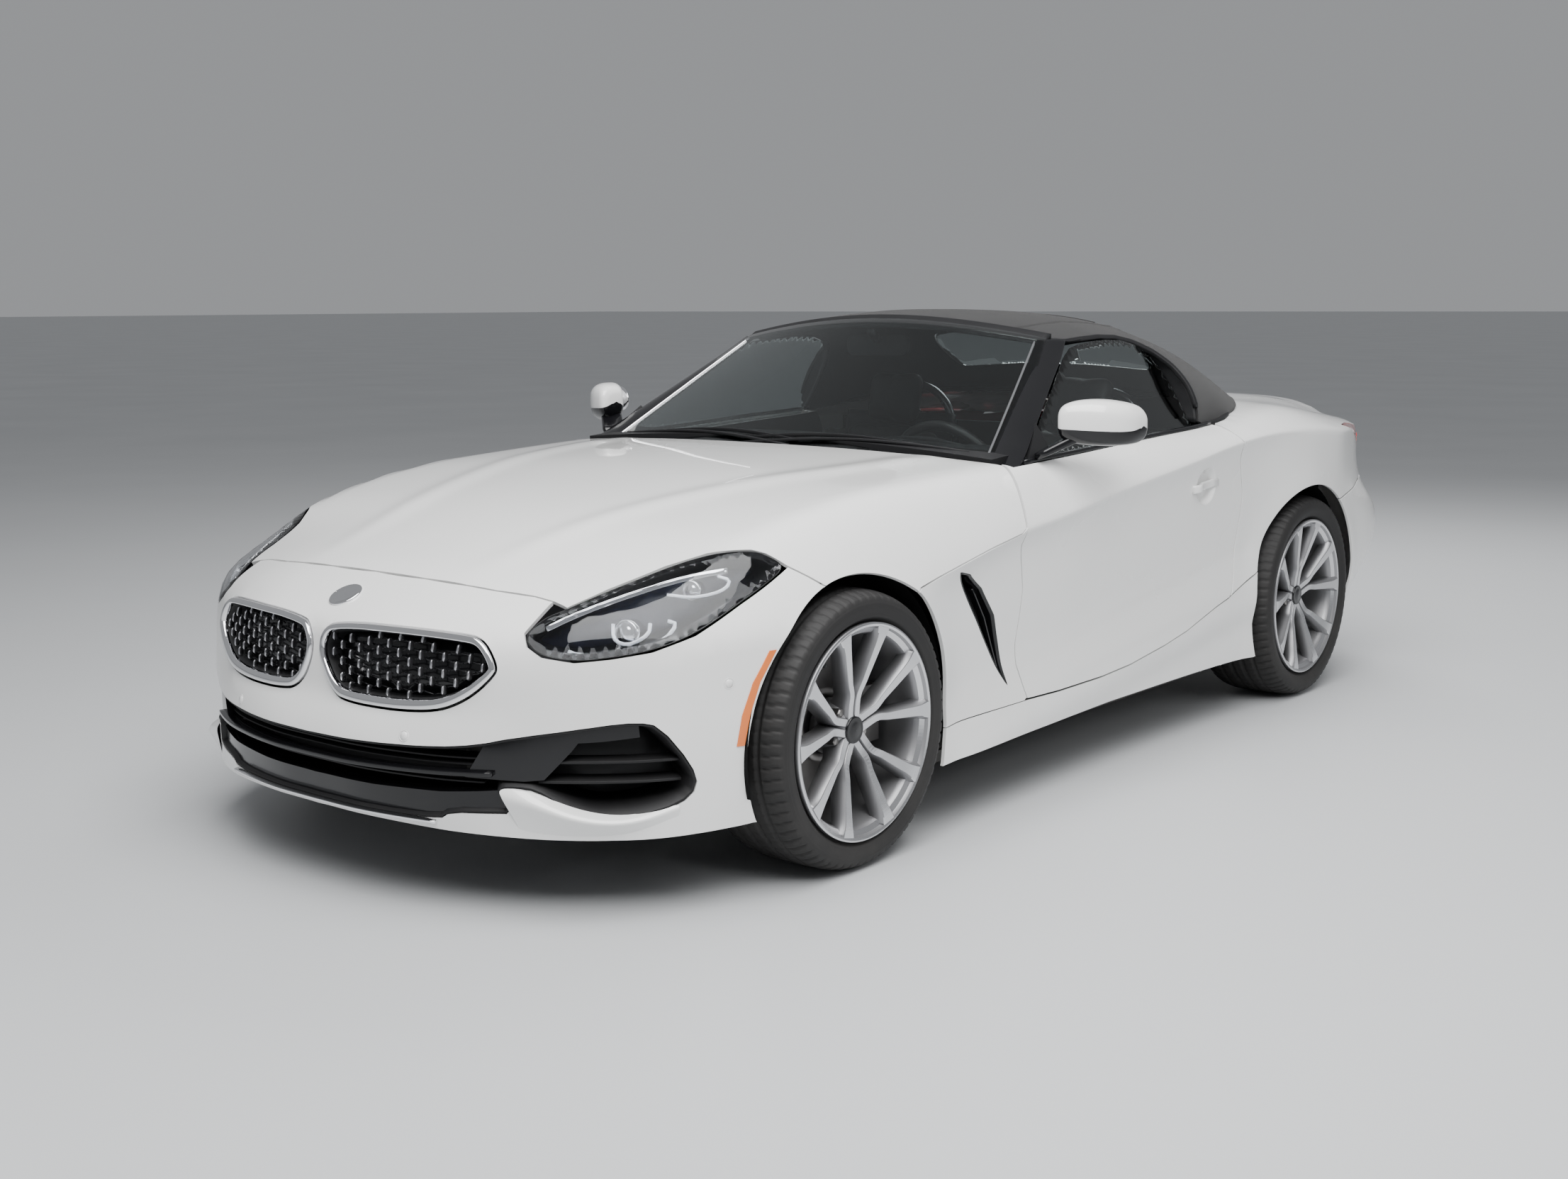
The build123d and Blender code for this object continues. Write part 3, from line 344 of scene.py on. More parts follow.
flank_profile = through(
    [-0.60, -0.52, -0.47, -0.40, -0.34, -0.26, -0.18, -0.10, -0.045, -0.012, 0.0, 0.05, 0.10, 0.20],
    [-0.022, -0.008, -0.012, -0.026, -0.036, -0.034, -0.029, -0.027, -0.021, -0.007, 0.0, -0.010, -0.030,
     -0.12],
)


# %% The four surfaces and their smooth maximum
LIP_PROUD, LIP_FADE = 0.006, 0.05  # the raised lip round each arch
DISH_DEEP = 0.020
EDGE_ROUND, END_ROUND = 0.012, 0.022  # rounding where the flanks meet the top, and where both meet the ends


def flank(station, height):
    """Half width at a height: widest line + profile measured from the crease + arch lips - handle dish."""
    rise = height - crease_height(station)
    doors = smooth_step(0.12, 0.5, station) * (1 - smooth_step(2.05, 2.5, station))
    plain = -0.5 * np.clip(rise, 0, 1) ** 1.6 - 0.10 * np.clip(0.42 - height, 0, 1)
    carved = flank_profile(rise)
    lip = np.zeros_like(rise)
    for centre, hub_height, radius in ((0.0, FRONT_HUB[2], FRONT_ARCH), (WHEELBASE, REAR_HUB[2], REAR_ARCH)):
        reach = np.hypot(station - centre, height - hub_height) - radius
        lip += LIP_PROUD * np.exp(-(np.clip(reach, 0, None) / LIP_FADE) ** 2)
    off = np.hypot((station - HANDLE[0]) / DISH_STRETCH, height - HANDLE[1])
    dish = DISH_DEEP * (1 - smooth_step(0.038, 0.057, off))
    return half_width(station) + doors * carved + (1 - doors) * plain + lip * (rise < 0.25) - dish


def top(across, station):
    """Height of the upper skin: a low arc from crown to belt line, then a shoulder falling to the crease."""
    belt_x, belt_z, crown = belt_half(station), belt_height(station), crown_height(station)
    share = np.clip(across / belt_x, 0, 1)
    inner = crown + (belt_z - crown) * share ** (2.2 + 3.4 * smooth_step(2.45, 3.0, station))
    reach = np.clip((across - belt_x) / (half_width(station) - belt_x), 0, 1.6)
    ridge_x = 0.27 + 0.30 * smooth_step(-0.70, 0.75, station)
    ahead = smooth_step(-0.72, -0.3, station) * (1 - smooth_step(0.6, 0.85, station))
    ridge = 0.006 * ahead * np.exp(-((across - ridge_x) / 0.05) ** 2)
    return inner + ridge - (belt_z - crease_height(station)) * reach ** 1.75


def nose(across, height):
    """Station of the nose: its plan curve, pushed forward near the middle by the bumper's profile."""
    return nose_plan(across) + nose_lean(height) * np.clip(1 - (across / 0.62) ** 2, 0.12, 1)


def tail(across, height):
    """Station of the tail: its side profile, drawn forward towards the corners by its plan curve."""
    return tail_profile(height) - tail_plan(across) * tail_corner(height)


def skin(across, station, height):
    """Signed distance-like value of the whole skin, negative inside."""
    across = np.abs(across)
    side_top = smooth_max(across - flank(station, height), height - top(across, station), EDGE_ROUND)
    front = nose(across, height) - station
    with_nose = smooth_max(side_top, front, END_ROUND + 0.05 * smooth_step(0.2, 0.6, across))
    back = station - tail(across, height)
    return smooth_max(with_nose, back, END_ROUND)


# %% [markdown]
# ## Finding the skin along a ray
# A panel is cut in a flat chart and then pushed out onto the skin. Each chart sends every point along a ray
# from inside the car, and halving an interval over and over finds where the ray leaves the skin.

# %% Charts
HALVINGS = 36


def outermost(value_at, low, high, count):
    """Bisection on whole arrays: the distance where value_at turns from negative to positive."""
    low, high = np.full(count, low), np.full(count, high)
    for _ in range(HALVINGS):
        middle = (low + high) / 2
        outside = value_at(middle) > 0
        high = np.where(outside, middle, high)
        low = np.where(outside, low, middle)
    return (low + high) / 2


SPINE = 0.46
UNROLL = 0.85


def over_chart(points):
    """Chart (station, angle x 0.85): rays fan out across the car from a spine along its middle at 0.46 m."""
    station, angle = points[:, 0], points[:, 1] / UNROLL
    reach = outermost(
        lambda r: skin(r * np.sin(angle), station, SPINE + r * np.cos(angle)), 0.05, 1.4, len(points)
    )
    return np.stack([reach * np.sin(angle), station + FRONT_AXLE, SPINE + reach * np.cos(angle)], axis=1)


NOSE_CENTRE = np.array([0.0, -0.10, 0.42])
TAIL_CENTRE = np.array([0.0, 2.50, 0.58])
BOOT_CENTRE = np.array([2.52, 0.62])


def ball_chart(centre, ahead):
    """Chart (bearing, rise) x 0.85: rays fan out from one point, like longitude and latitude on a globe."""
    def chart(points):
        """Where the ray of each (bearing, rise) leaves the skin."""
        bearing, rise = points[:, 0] / UNROLL, points[:, 1] / UNROLL
        way = np.stack([
            np.sin(bearing) * np.cos(rise), ahead * np.cos(bearing) * np.cos(rise), np.sin(rise),
        ], axis=1)
        reach = outermost(lambda r: skin(*(centre[:, None] + r * way.T)), 0.05, 1.5, len(points))
        return centre + reach[:, None] * way + (0, FRONT_AXLE, 0)

    return chart


def to_ball(centre, ahead):
    """The way back: bearing and rise of points given as (across, station, height)."""
    def back(points):
        """Bearing and rise, both x 0.85, of each point."""
        way = points - centre
        bearing = np.arctan2(way[:, 0], ahead * way[:, 1])
        rise = np.arctan2(way[:, 2], np.hypot(way[:, 0], way[:, 1]))
        return UNROLL * np.stack([bearing, rise], axis=1)

    return back


def sunk_chart(chart, post):
    """A chart whose points are pushed inwards from the skin by an inset, along the ray from the post."""
    def on_skin(outline, inset=0.0):
        """Chart points on the skin, less inset x (p - post) / |p - post|."""
        points = chart(outline)
        away = points - post
        return points - inset * away / np.linalg.norm(away, axis=1)[:, None]

    return on_skin


NOSE_POST, TAIL_POST = NOSE_CENTRE + (0, FRONT_AXLE, 0), TAIL_CENTRE + (0, FRONT_AXLE, 0)
nose_chart, to_nose = ball_chart(NOSE_CENTRE, -1), to_ball(NOSE_CENTRE, -1)
tail_chart, to_tail = ball_chart(TAIL_CENTRE, 1), to_ball(TAIL_CENTRE, 1)
on_nose, on_tail = sunk_chart(nose_chart, NOSE_POST), sunk_chart(tail_chart, TAIL_POST)


def boot_chart(points):
    """Chart (across, angle x 0.85): in each lengthwise plane rays fan out from a line under the boot lid."""
    across, angle = points[:, 0], points[:, 1] / UNROLL
    reach = outermost(
        lambda r: skin(across, BOOT_CENTRE[0] + r * np.cos(angle), BOOT_CENTRE[1] + r * np.sin(angle)),
        0.05, 1.4, len(points),
    )
    return np.stack([
        across, BOOT_CENTRE[0] + reach * np.cos(angle) + FRONT_AXLE, BOOT_CENTRE[1] + reach * np.sin(angle),
    ], axis=1)


def to_boot(points):
    """Boot-chart coordinates of points given as (across, station, height)."""
    return np.stack([
        points[:, 0], UNROLL * np.arctan2(points[:, 2] - BOOT_CENTRE[1], points[:, 1] - BOOT_CENTRE[0]),
    ], axis=1)


def from_side(pairs):
    """Points on the left flank from (station, height) pairs."""
    pairs = np.array(pairs, float)
    across = outermost(lambda a: skin(a, pairs[:, 0], pairs[:, 1]), 0.3, 1.1, len(pairs))
    return np.stack([across, pairs[:, 0], pairs[:, 1]], axis=1)


def from_above(pairs):
    """Points on the upper skin from (across, station) pairs."""
    pairs = np.array(pairs, float)
    height = outermost(lambda z: skin(pairs[:, 0], pairs[:, 1], z), 0.3, 1.3, len(pairs))
    return np.stack([pairs[:, 0], pairs[:, 1], height], axis=1)


def from_front(pairs):
    """Points on the nose from (across, height) pairs."""
    pairs = np.array(pairs, float)
    depth = outermost(lambda d: skin(pairs[:, 0], -d, pairs[:, 1]), -0.3, 1.1, len(pairs))
    return np.stack([pairs[:, 0], -depth, pairs[:, 1]], axis=1)


def from_behind(pairs):
    """Points on the tail from (across, height) pairs."""
    pairs = np.array(pairs, float)
    depth = outermost(lambda d: skin(pairs[:, 0], d, pairs[:, 1]), 2.4, 3.7, len(pairs))
    return np.stack([pairs[:, 0], depth, pairs[:, 1]], axis=1)


def to_over(points):
    """Over-chart coordinates of points given as (across, station, height)."""
    return np.stack([points[:, 1], UNROLL * np.arctan2(points[:, 0], points[:, 2] - SPINE)], axis=1)


# %% Outlines: dense, rounded and shrunk for the shut lines
DOUBLED = 1e-5  # points closer than this are one point


def dense(points, step=0.012, closed=True):
    """Points added along each edge so that none is longer than the step."""
    points = np.asarray(points, float)
    if closed:
        points = points[np.linalg.norm(points - np.roll(points, 1, axis=0), axis=1) > DOUBLED]
    ends = np.roll(points, -1, axis=0) if closed else points[1:]
    starts = points if closed else points[:-1]
    runs = []
    for start, end in zip(starts, ends):
        pieces = max(1, math.ceil(np.linalg.norm(end - start) / step))
        runs.append(start + (end - start) * np.linspace(0, 1, pieces, endpoint=False)[:, None])
    return np.concatenate(runs if closed else runs + [points[-1:]])


def rounded(points, times=2, closed=True):
    """Corner cutting: each pass replaces an edge by its points at one and three quarters."""
    points = np.asarray(points, float)
    for _ in range(times):
        after = np.roll(points, -1, axis=0)
        cut = np.stack([0.75 * points + 0.25 * after, 0.25 * points + 0.75 * after], axis=1)
        cut = cut.reshape(-1, points.shape[1])
        points = cut if closed else np.concatenate([points[:1], cut[1:-3], points[-1:]])
    return points


def shrunk(outline, gap):
    """A closed outline moved inward by a gap, along the mean normal of its neighbouring edges."""
    ahead = np.roll(outline, -1, axis=0) - outline
    behind = outline - np.roll(outline, 1, axis=0)
    tangent = (ahead / np.linalg.norm(ahead, axis=1)[:, None]
               + behind / np.linalg.norm(behind, axis=1)[:, None])
    tangent /= np.maximum(np.linalg.norm(tangent, axis=1), 1e-9)[:, None]
    normal = np.stack([-tangent[:, 1], tangent[:, 0]], axis=1)
    area = 0.5 * np.sum(outline[:, 0] * np.roll(outline[:, 1], -1)
                        - np.roll(outline[:, 0], -1) * outline[:, 1])
    return outline + normal * gap * np.sign(area)


def inside(outline, points):
    """Whether each point lies inside a closed outline, by counting edge crossings on whole arrays."""
    x, y = points[:, 0][:, None], points[:, 1][:, None]
    a, b = outline, np.roll(outline, -1, axis=0)
    crosses = (a[:, 1] > y) != (b[:, 1] > y)
    at = (a[:, 0] + (y - a[:, 1]) / np.where(b[:, 1] == a[:, 1], 1e-12, b[:, 1] - a[:, 1])
          * (b[:, 0] - a[:, 0]))
    return (np.sum(crosses & (x < at), axis=1) % 2).astype(bool)


# %% From outline to pressed panel
def new_object(name, vertices, faces, body, slot, smooth=True, look=None):
    """A mesh piece that rides on a body; its finish is its slot's own unless a look is given."""
    mesh = bpy.data.meshes.new(name)
    mesh.from_pydata(vertices.tolist(), [], faces if isinstance(faces, list) else faces.tolist())
    mesh.polygons.foreach_set("use_smooth", np.full(len(mesh.polygons), smooth))
    mesh.materials.append(FINISH[look or slot])
    mesh.validate()
    piece = bpy.data.objects.new(name, mesh)
    bpy.context.scene.collection.objects.link(piece)
    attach(piece, body)
    return piece


def walled(piece, thickness, offset=-1):
    """A wall of even thickness behind the face (-1), before it (1) or on both sides of it (0)."""
    wall = piece.modifiers.new("wall", "SOLIDIFY")
    wall.thickness = thickness
    wall.offset = offset
    wall.use_even_offset = False
    return piece


def soften(piece, width, segments=2, angle=35):
    """A small bevel along every edge sharper than an angle."""
    bevel = piece.modifiers.new("soft edge", "BEVEL")
    bevel.width = width
    bevel.segments = segments
    bevel.limit_method = "ANGLE"
    bevel.angle_limit = math.radians(angle)
    return piece


def face_rows(piece, what):
    """The centre or the normal of every face, one row each."""
    values = np.zeros(len(piece.data.polygons) * 3)
    piece.data.polygons.foreach_get(what, values)
    return values.reshape(-1, 3)


def second_finish(piece, look, chosen):
    """Another finish for the chosen faces of a piece."""
    piece.data.materials.append(FINISH[look])
    piece.data.polygons.foreach_set("material_index", chosen.astype(np.int32))


def apart(points, others):
    """Distance from each point to the nearest of the others: the square root of |a|^2 + |b|^2 - 2 a.b."""
    square = (points ** 2).sum(axis=1)[:, None] + (others ** 2).sum(axis=1)[None] - 2 * points @ others.T
    return np.sqrt(np.maximum(square.min(axis=1), 0))


EXTRA_CLEAR = 0.004  # extra points keep this far from every outline


def filled(outline, holes=(), step=0.02, extra=None):
    """Flat triangles that fill an outline round its holes, over a grid of points and any extra points."""
    low, high = outline.min(axis=0), outline.max(axis=0)
    across, up = (np.arange(a + step / 2, b, step) for a, b in zip(low, high))
    grid = np.stack(np.meshgrid(across, up), axis=-1).reshape(-1, 2)
    loops = [outline, *holes]
    if extra is not None:
        extra = extra[((extra > low) & (extra < high)).all(axis=1)]
        extra = extra[apart(extra, np.concatenate(loops)) > EXTRA_CLEAR]
        if len(extra):
            grid = np.concatenate([grid[apart(grid, extra) > step * 0.6], extra])
    given = np.arange(len(grid)) >= len(grid) - (0 if extra is None else len(extra))
    keep = inside(outline, grid) & (given | (apart(grid, np.concatenate(loops)) > step * 0.5))
    for hole in holes:
        keep &= ~inside(hole, grid)
    points = np.concatenate([*loops, grid[keep]])
    edges, start = [], 0
    for loop in loops:
        edges += [(start + i, start + (i + 1) % len(loop)) for i in range(len(loop))]
        start += len(loop)
    found = delaunay_2d_cdt([Vector(p) for p in points.tolist()], edges, [], 0, 1e-6)
    flat = np.array([tuple(v) for v in found[0]])
    faces = np.array([tuple(f) for f in found[2] if len(f) == 3])
    middle = flat[faces].mean(axis=1)
    keep = inside(outline, middle)
    for hole in holes:
        keep &= ~inside(hole, middle)
    return flat, faces[keep]


def facing_out(vertices, faces, sign_of):
    """Faces turned so that their normals agree with the outward direction at each face's middle."""
    corners = vertices[faces]
    normal = np.cross(corners[:, 1] - corners[:, 0], corners[:, 2] - corners[:, 0])
    flip = np.einsum("ij,ij->i", normal, sign_of(corners.mean(axis=1))) < 0
    faces = faces.copy()
    faces[flip] = faces[flip][:, ::-1]
    return faces


def outward(points):
    """A direction that leads out of the car from each point: away from the spine, nose post or tail post."""
    middle = np.clip(points[:, 1], FRONT_AXLE - 0.1, FRONT_AXLE + 2.6)
    centre = np.stack([np.zeros(len(points)), middle, np.full(len(points), SPINE)], axis=1)
    return points - centre


def panel(name, body, outline, chart, slot="paint", holes=(), step=0.022, thickness=0.009, side=0,
          edge=0.0012, gap=0.0022, lift=0.0, look=None, extra=None, replaces=()):
    """A pressed panel: a shrunk outline filled in its chart, pushed onto the skin and given a wall."""
    outline = shrunk(dense(outline), gap)
    holes = [shrunk(dense(hole), -gap) for hole in holes]
    flat, faces = filled(outline, holes, step, extra)
    vertices = chart(flat)
    if lift:
        away = outward(vertices)
        vertices = vertices + lift * away / np.linalg.norm(away, axis=1)[:, None]
    if side < 0:
        vertices = vertices * (-1, 1, 1)
    faces = facing_out(vertices, faces, outward)
    piece = new_object(name, vertices, faces, body, slot, look=look)
    walled(piece, thickness)
    if edge:
        soften(piece, edge, angle=50)
    weighted = piece.modifiers.new("even shading", "WEIGHTED_NORMAL")
    weighted.keep_sharp = True
    if replaces:
        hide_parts(*replaces)
    return piece


def arc(centre, radius, start, end, count=40):
    """Points of an arc about (station, height), angles in degrees from the rear, upwards positive."""
    angle = np.radians(np.linspace(start, end, count))
    return np.stack([centre[0] + radius * np.cos(angle), centre[1] + radius * np.sin(angle)], axis=1)


def mirrored(half, flip=(-1, 1)):
    """A closed outline from its left half: the half, then its mirror image walked back."""
    half = np.asarray(half, float)
    return np.concatenate([half, (half * flip)[::-1]])


def joined(*runs):
    """Several runs of (across, station, height) points in one array."""
    return np.concatenate([np.asarray(run, float) for run in runs])


# %% [markdown]
# ## The shut lines
# The lines where panels meet are given as pairs of station and height, across and station, or across and
# height. Two neighbours share the same line, and each is then shrunk by half of the gap.

# %% Lines seen from the side
ARCH_TOP_FRONT = arc((0, FRONT_HUB[2]), FRONT_ARCH, 106.7, 55.5, 24)
ARCH_LOW_FRONT = arc((0, FRONT_HUB[2]), FRONT_ARCH, 55.5, -9.6, 30)
ARCH_BUMPER_FRONT = arc((0, FRONT_HUB[2]), FRONT_ARCH, 106.7, 204.0, 44)
LAMP_REAR = [(-0.186, 0.733), (-0.145, 0.708)]
CREASE_SEAM = [(0.217, 0.642), (0.300, 0.657), (0.389, 0.672), (0.550, 0.700), (0.700, 0.722)]
DOOR_FRONT = [(0.779, 0.890), (0.729, 0.737), (0.722, 0.690), (0.738, 0.620), (0.745, 0.570), (0.737, 0.500),
              (0.723, 0.430), (0.726, 0.370), (0.754, 0.279)]
DOOR_FOOT = [(0.760, 0.275), (0.915, 0.271), (1.146, 0.273), (1.310, 0.282), (1.525, 0.308), (1.660, 0.331),
             (1.847, 0.378), (1.935, 0.397)]
DOOR_REAR = dense(rounded([(1.953, 0.412), (1.987, 0.488), (2.019, 0.597), (2.031, 0.690), (2.028, 0.735),
                           (2.012, 0.790), (1.990, 0.880)], 2, closed=False), 0.010, closed=False)
SILL_REAR = dense([(1.944, 0.400), (2.030, 0.428), (2.110, 0.455)], 0.010, closed=False)
REAR_ARCH_FULL = arc((WHEELBASE, REAR_HUB[2]), REAR_ARCH, 161.0, 56.0, 50)
REAR_ARCH_LOW = arc((WHEELBASE, REAR_HUB[2]), REAR_ARCH, 161.0, 205.0, 20)
REAR_ARCH_BUMPER = arc((WHEELBASE, REAR_HUB[2]), REAR_ARCH, 56.0, -24.0, 40)
BUMPER_SEAM = [(2.690, 0.648), (2.820, 0.668), (2.960, 0.688), (3.060, 0.694)]

# %% Lines on the bonnet, the deck and the lamps, as (across, station)
BONNET_NOSE = [(0.0, -0.668), (0.169, -0.665), (0.300, -0.654), (0.381, -0.642), (0.480, -0.618),
               (0.530, -0.612)]
BONNET_LAMP = [(0.573, -0.613), (0.609, -0.519), (0.664, -0.396), (0.723, -0.321), (0.782, -0.245),
               (0.803, -0.220)]
BONNET_REAR = [(0.774, 0.772), (0.700, 0.762), (0.544, 0.745), (0.321, 0.729), (0.160, 0.722), (0.0, 0.720)]
BELT_RUN = [(0.806, 0.800), (0.808, 1.076), (0.808, 1.300), (0.808, 1.601), (0.806, 1.850), (0.803, 1.960)]
DECK_EDGE = [(0.800, 1.985), (0.795, 2.060), (0.775, 2.130), (0.735, 2.220), (0.690, 2.290)]

# %% Panels of the left side, and their mirror images
def both(name, body, outline, chart, **options):
    """The same panel on both sides of the car."""
    for side, word in SIDES:
        rides = body if isinstance(body, str) else body[side]
        panel(f"{name}_{word}", rides, outline, chart, side=side, **options)


BODY = "body"
CREASE_ROWS = np.concatenate([
    from_side([(station, crease_height(station) + rise) for station in np.arange(0.22, 3.0, 0.020)])
    for rise in (-0.045, -0.022, -0.010, -0.003, 0.003, 0.012)
])
VENT = from_side([(0.412, 0.654), (0.474, 0.640), (0.538, 0.597), (0.604, 0.519), (0.640, 0.421),
                  (0.672, 0.326), (0.560, 0.466), (0.480, 0.568)])
fender_line = to_over(joined(
    from_side(ARCH_LOW_FRONT), from_side([(0.740, 0.272)]), from_side(DOOR_FRONT[::-1][:-1]),
    from_side(CREASE_SEAM[::-1]),
))
both("front_fender_skin", BODY, fender_line, over_chart, holes=[to_over(VENT)], extra=to_over(CREASE_ROWS),
     replaces=["front_fenders"])
skirt_line = to_over(joined(
    from_side([(0.361, 0.272), (0.346, 0.220), (0.336, 0.178), (2.120, 0.178)]),
    from_side(REAR_ARCH_LOW[::-1]), from_side(SILL_REAR[::-1]), from_side(DOOR_FOOT[::-1]),
))
both("side_skirt_skin", BODY, skirt_line, over_chart, replaces=["side_skirts"])
turn = np.linspace(0, 2 * np.pi, 44, endpoint=False)
DISH_ROWS = (0.016, 0.030, 0.037, 0.040, 0.043, 0.046, 0.049, 0.052, 0.055, 0.058, 0.064)
DISH = np.concatenate([
    from_side(np.stack([HANDLE[0] + r * DISH_STRETCH * np.cos(turn), HANDLE[1] + r * np.sin(turn)], axis=1))
    for r in DISH_ROWS
])
DOOR_TOP = from_above(BELT_RUN[::-1])
door_line = to_over(joined(from_side(DOOR_FRONT[::-1]), DOOR_TOP[::-1], from_side(DOOR_REAR[::-1]),
                           from_side(DOOR_FOOT[::-1])))
both("door_skin", {1: "door_left", -1: "door_right"}, door_line, over_chart,
     extra=np.concatenate([to_over(CREASE_ROWS), to_over(DISH)]))


# %% Bonnet and nose
bonnet_half = joined(
    from_above(BONNET_NOSE), from_above(BONNET_LAMP), from_side(LAMP_REAR), from_side(ARCH_TOP_FRONT),
    from_side(CREASE_SEAM), from_side([(0.722, 0.735)]), from_above(BONNET_REAR),
)
panel("bonnet_skin", "bonnet", mirrored(to_over(bonnet_half), (1, -1)), over_chart, replaces=["bonnet"])

KIDNEY = [(0.078, 0.449), (0.119, 0.443), (0.184, 0.440), (0.288, 0.440), (0.366, 0.447), (0.413, 0.463),
          (0.458, 0.492), (0.496, 0.533), (0.500, 0.552), (0.477, 0.589), (0.450, 0.608), (0.424, 0.614),
          (0.320, 0.620), (0.210, 0.621), (0.127, 0.619), (0.053, 0.611), (0.033, 0.601), (0.020, 0.584),
          (0.013, 0.560), (0.015, 0.535), (0.024, 0.512), (0.045, 0.476)]
lamp_front = from_front([(0.534, 0.621), (0.552, 0.596), (0.585, 0.576)])
lamp_low = from_side([(-0.667, 0.566), (-0.619, 0.573), (-0.554, 0.586), (-0.469, 0.615), (-0.350, 0.667),
                      (-0.261, 0.702)])
bumper_half = joined(
    from_above(BONNET_NOSE), lamp_front, lamp_low, from_side(LAMP_REAR), from_side(ARCH_BUMPER_FRONT),
    from_side([(-0.381, 0.180), (-0.480, 0.178)]), from_front([(0.780, 0.176), (0.680, 0.176), (0.500, 0.180),
                                                               (0.300, 0.186), (0.0, 0.189)]),
)
intake_half = joined(
    from_front([(0.0, 0.364), (0.200, 0.366), (0.380, 0.372), (0.470, 0.382), (0.540, 0.400)]),
    from_side([(-0.640, 0.428), (-0.585, 0.434), (-0.550, 0.424), (-0.492, 0.336), (-0.477, 0.285),
               (-0.512, 0.250)]),
    from_front([(0.748, 0.228), (0.699, 0.224), (0.660, 0.236), (0.625, 0.257), (0.580, 0.288),
                (0.548, 0.292), (0.509, 0.290), (0.522, 0.262), (0.530, 0.236), (0.500, 0.234),
                (0.400, 0.229), (0.372, 0.210), (0.200, 0.206), (0.0, 0.206)]),
)
KIDNEY_CHART = dense(rounded(to_nose(from_front(KIDNEY)), 2), 0.006)
INTAKE_CHART = dense(rounded(mirrored(to_nose(intake_half)), 1), 0.010)
panel("front_bumper_skin", BODY, mirrored(to_nose(bumper_half)), nose_chart,
      holes=[KIDNEY_CHART, (KIDNEY_CHART * (-1, 1))[::-1], INTAKE_CHART], replaces=["front_bumper"])

# %% Rear quarters, deck, boot lid and bumper
LAMP_LOW_SIDE = [(3.100, 0.779), (3.050, 0.802), (2.960, 0.848), (2.870, 0.874), (2.780, 0.892)]
LAMP_HIGH_SIDE = [(2.880, 0.892), (2.960, 0.885), (3.050, 0.875), (3.120, 0.868)]


def lid_side(across):
    """Closely spaced (across, station) pairs along the straight side of the boot lid."""
    return [(across, station) for station in np.linspace(2.62, 3.27, 26)]


def lid_tail(across):
    """Closely spaced (across, height) pairs down the lid's side at the tail."""
    return [(across, height) for height in np.linspace(0.908, 0.872, 6)]


quarter_line = to_tail(joined(
    from_side(DOOR_REAR[::-1]), from_side(SILL_REAR), from_side(REAR_ARCH_FULL), from_side(BUMPER_SEAM),
    from_side(LAMP_LOW_SIDE), from_side(LAMP_HIGH_SIDE),
    from_behind([(0.800, 0.858), (0.700, 0.867), (0.620, 0.871), *lid_tail(0.567)[::-1]]),
    from_above([*lid_side(0.567)[::-1], (0.552, 2.578), (0.506, 2.556), (0.506, 2.440),
                (0.600, 2.370), *DECK_EDGE[::-1]]),
))
both("rear_quarter_skin", BODY, quarter_line, tail_chart, replaces=["rear_quarters"],
     extra=to_tail(CREASE_ROWS[CREASE_ROWS[:, 1] > 1.9]))
deck_half = from_above([(0.0, 2.452), (0.300, 2.448), (0.500, 2.434), (0.520, 2.540), (0.500, 2.552),
                        (0.0, 2.556)])
panel("rear_deck_skin", BODY, mirrored(to_over(deck_half), (1, -1)), over_chart, replaces=["rear_deck"])
boot_half_line = np.concatenate([
    to_boot(from_above([(0.0, 2.562), (0.500, 2.562), (0.545, 2.572), *lid_side(0.565)])),
    to_boot(from_behind([*lid_tail(0.565), (0.566, 0.770), (0.557, 0.724), (0.540, 0.709), (0.500, 0.704),
                          (0.0, 0.702)])),
])
panel("boot_lid_skin", "boot_lid", mirrored(boot_half_line), boot_chart, replaces=["boot_lid"])
rear_bumper_half = np.concatenate([
    to_tail(from_behind([(0.0, 0.700), (0.500, 0.702), (0.544, 0.706), (0.562, 0.722), (0.573, 0.772),
                         (0.700, 0.772), (0.800, 0.774)])),
    to_tail(from_side([(3.100, 0.776)])),
    to_tail(from_side(BUMPER_SEAM[::-1])), to_tail(from_side(REAR_ARCH_BUMPER)),
    to_tail(from_side([(2.850, 0.186), (2.950, 0.200)])),
    to_tail(from_behind([(0.800, 0.205), (0.640, 0.214), (0.434, 0.214), (0.431, 0.330), (0.360, 0.392),
                         (0.0, 0.392)])),
])
tip_hole = dense([(0.442, 0.236), (0.456, 0.336), (0.586, 0.336), (0.602, 0.236)], 0.02)
TIP_HOLE = dense(rounded(to_tail(from_behind(tip_hole)), 2), 0.006)
panel("rear_bumper_skin", BODY, mirrored(rear_bumper_half), tail_chart, replaces=["rear_bumper"],
      holes=[TIP_HOLE, (TIP_HOLE * (-1, 1))[::-1]])
LAMP_OUTER = to_tail(joined(
    from_behind([(0.571, 0.868), (0.620, 0.868), (0.700, 0.864), (0.800, 0.855)]),
    from_side([(3.120, 0.865), (3.050, 0.872), (2.960, 0.882), (2.880, 0.8895), (2.790, 0.8915),
               (2.870, 0.8760), (2.960, 0.850), (3.050, 0.804), (3.098, 0.781)]),
    from_behind([(0.800, 0.778), (0.700, 0.776), (0.590, 0.776), (0.573, 0.800)]),
))
LAMP_INNER = to_boot(from_behind([(0.556, 0.868), (0.556, 0.782), (0.500, 0.780), (0.450, 0.792),
                                  (0.425, 0.830), (0.436, 0.866)]))
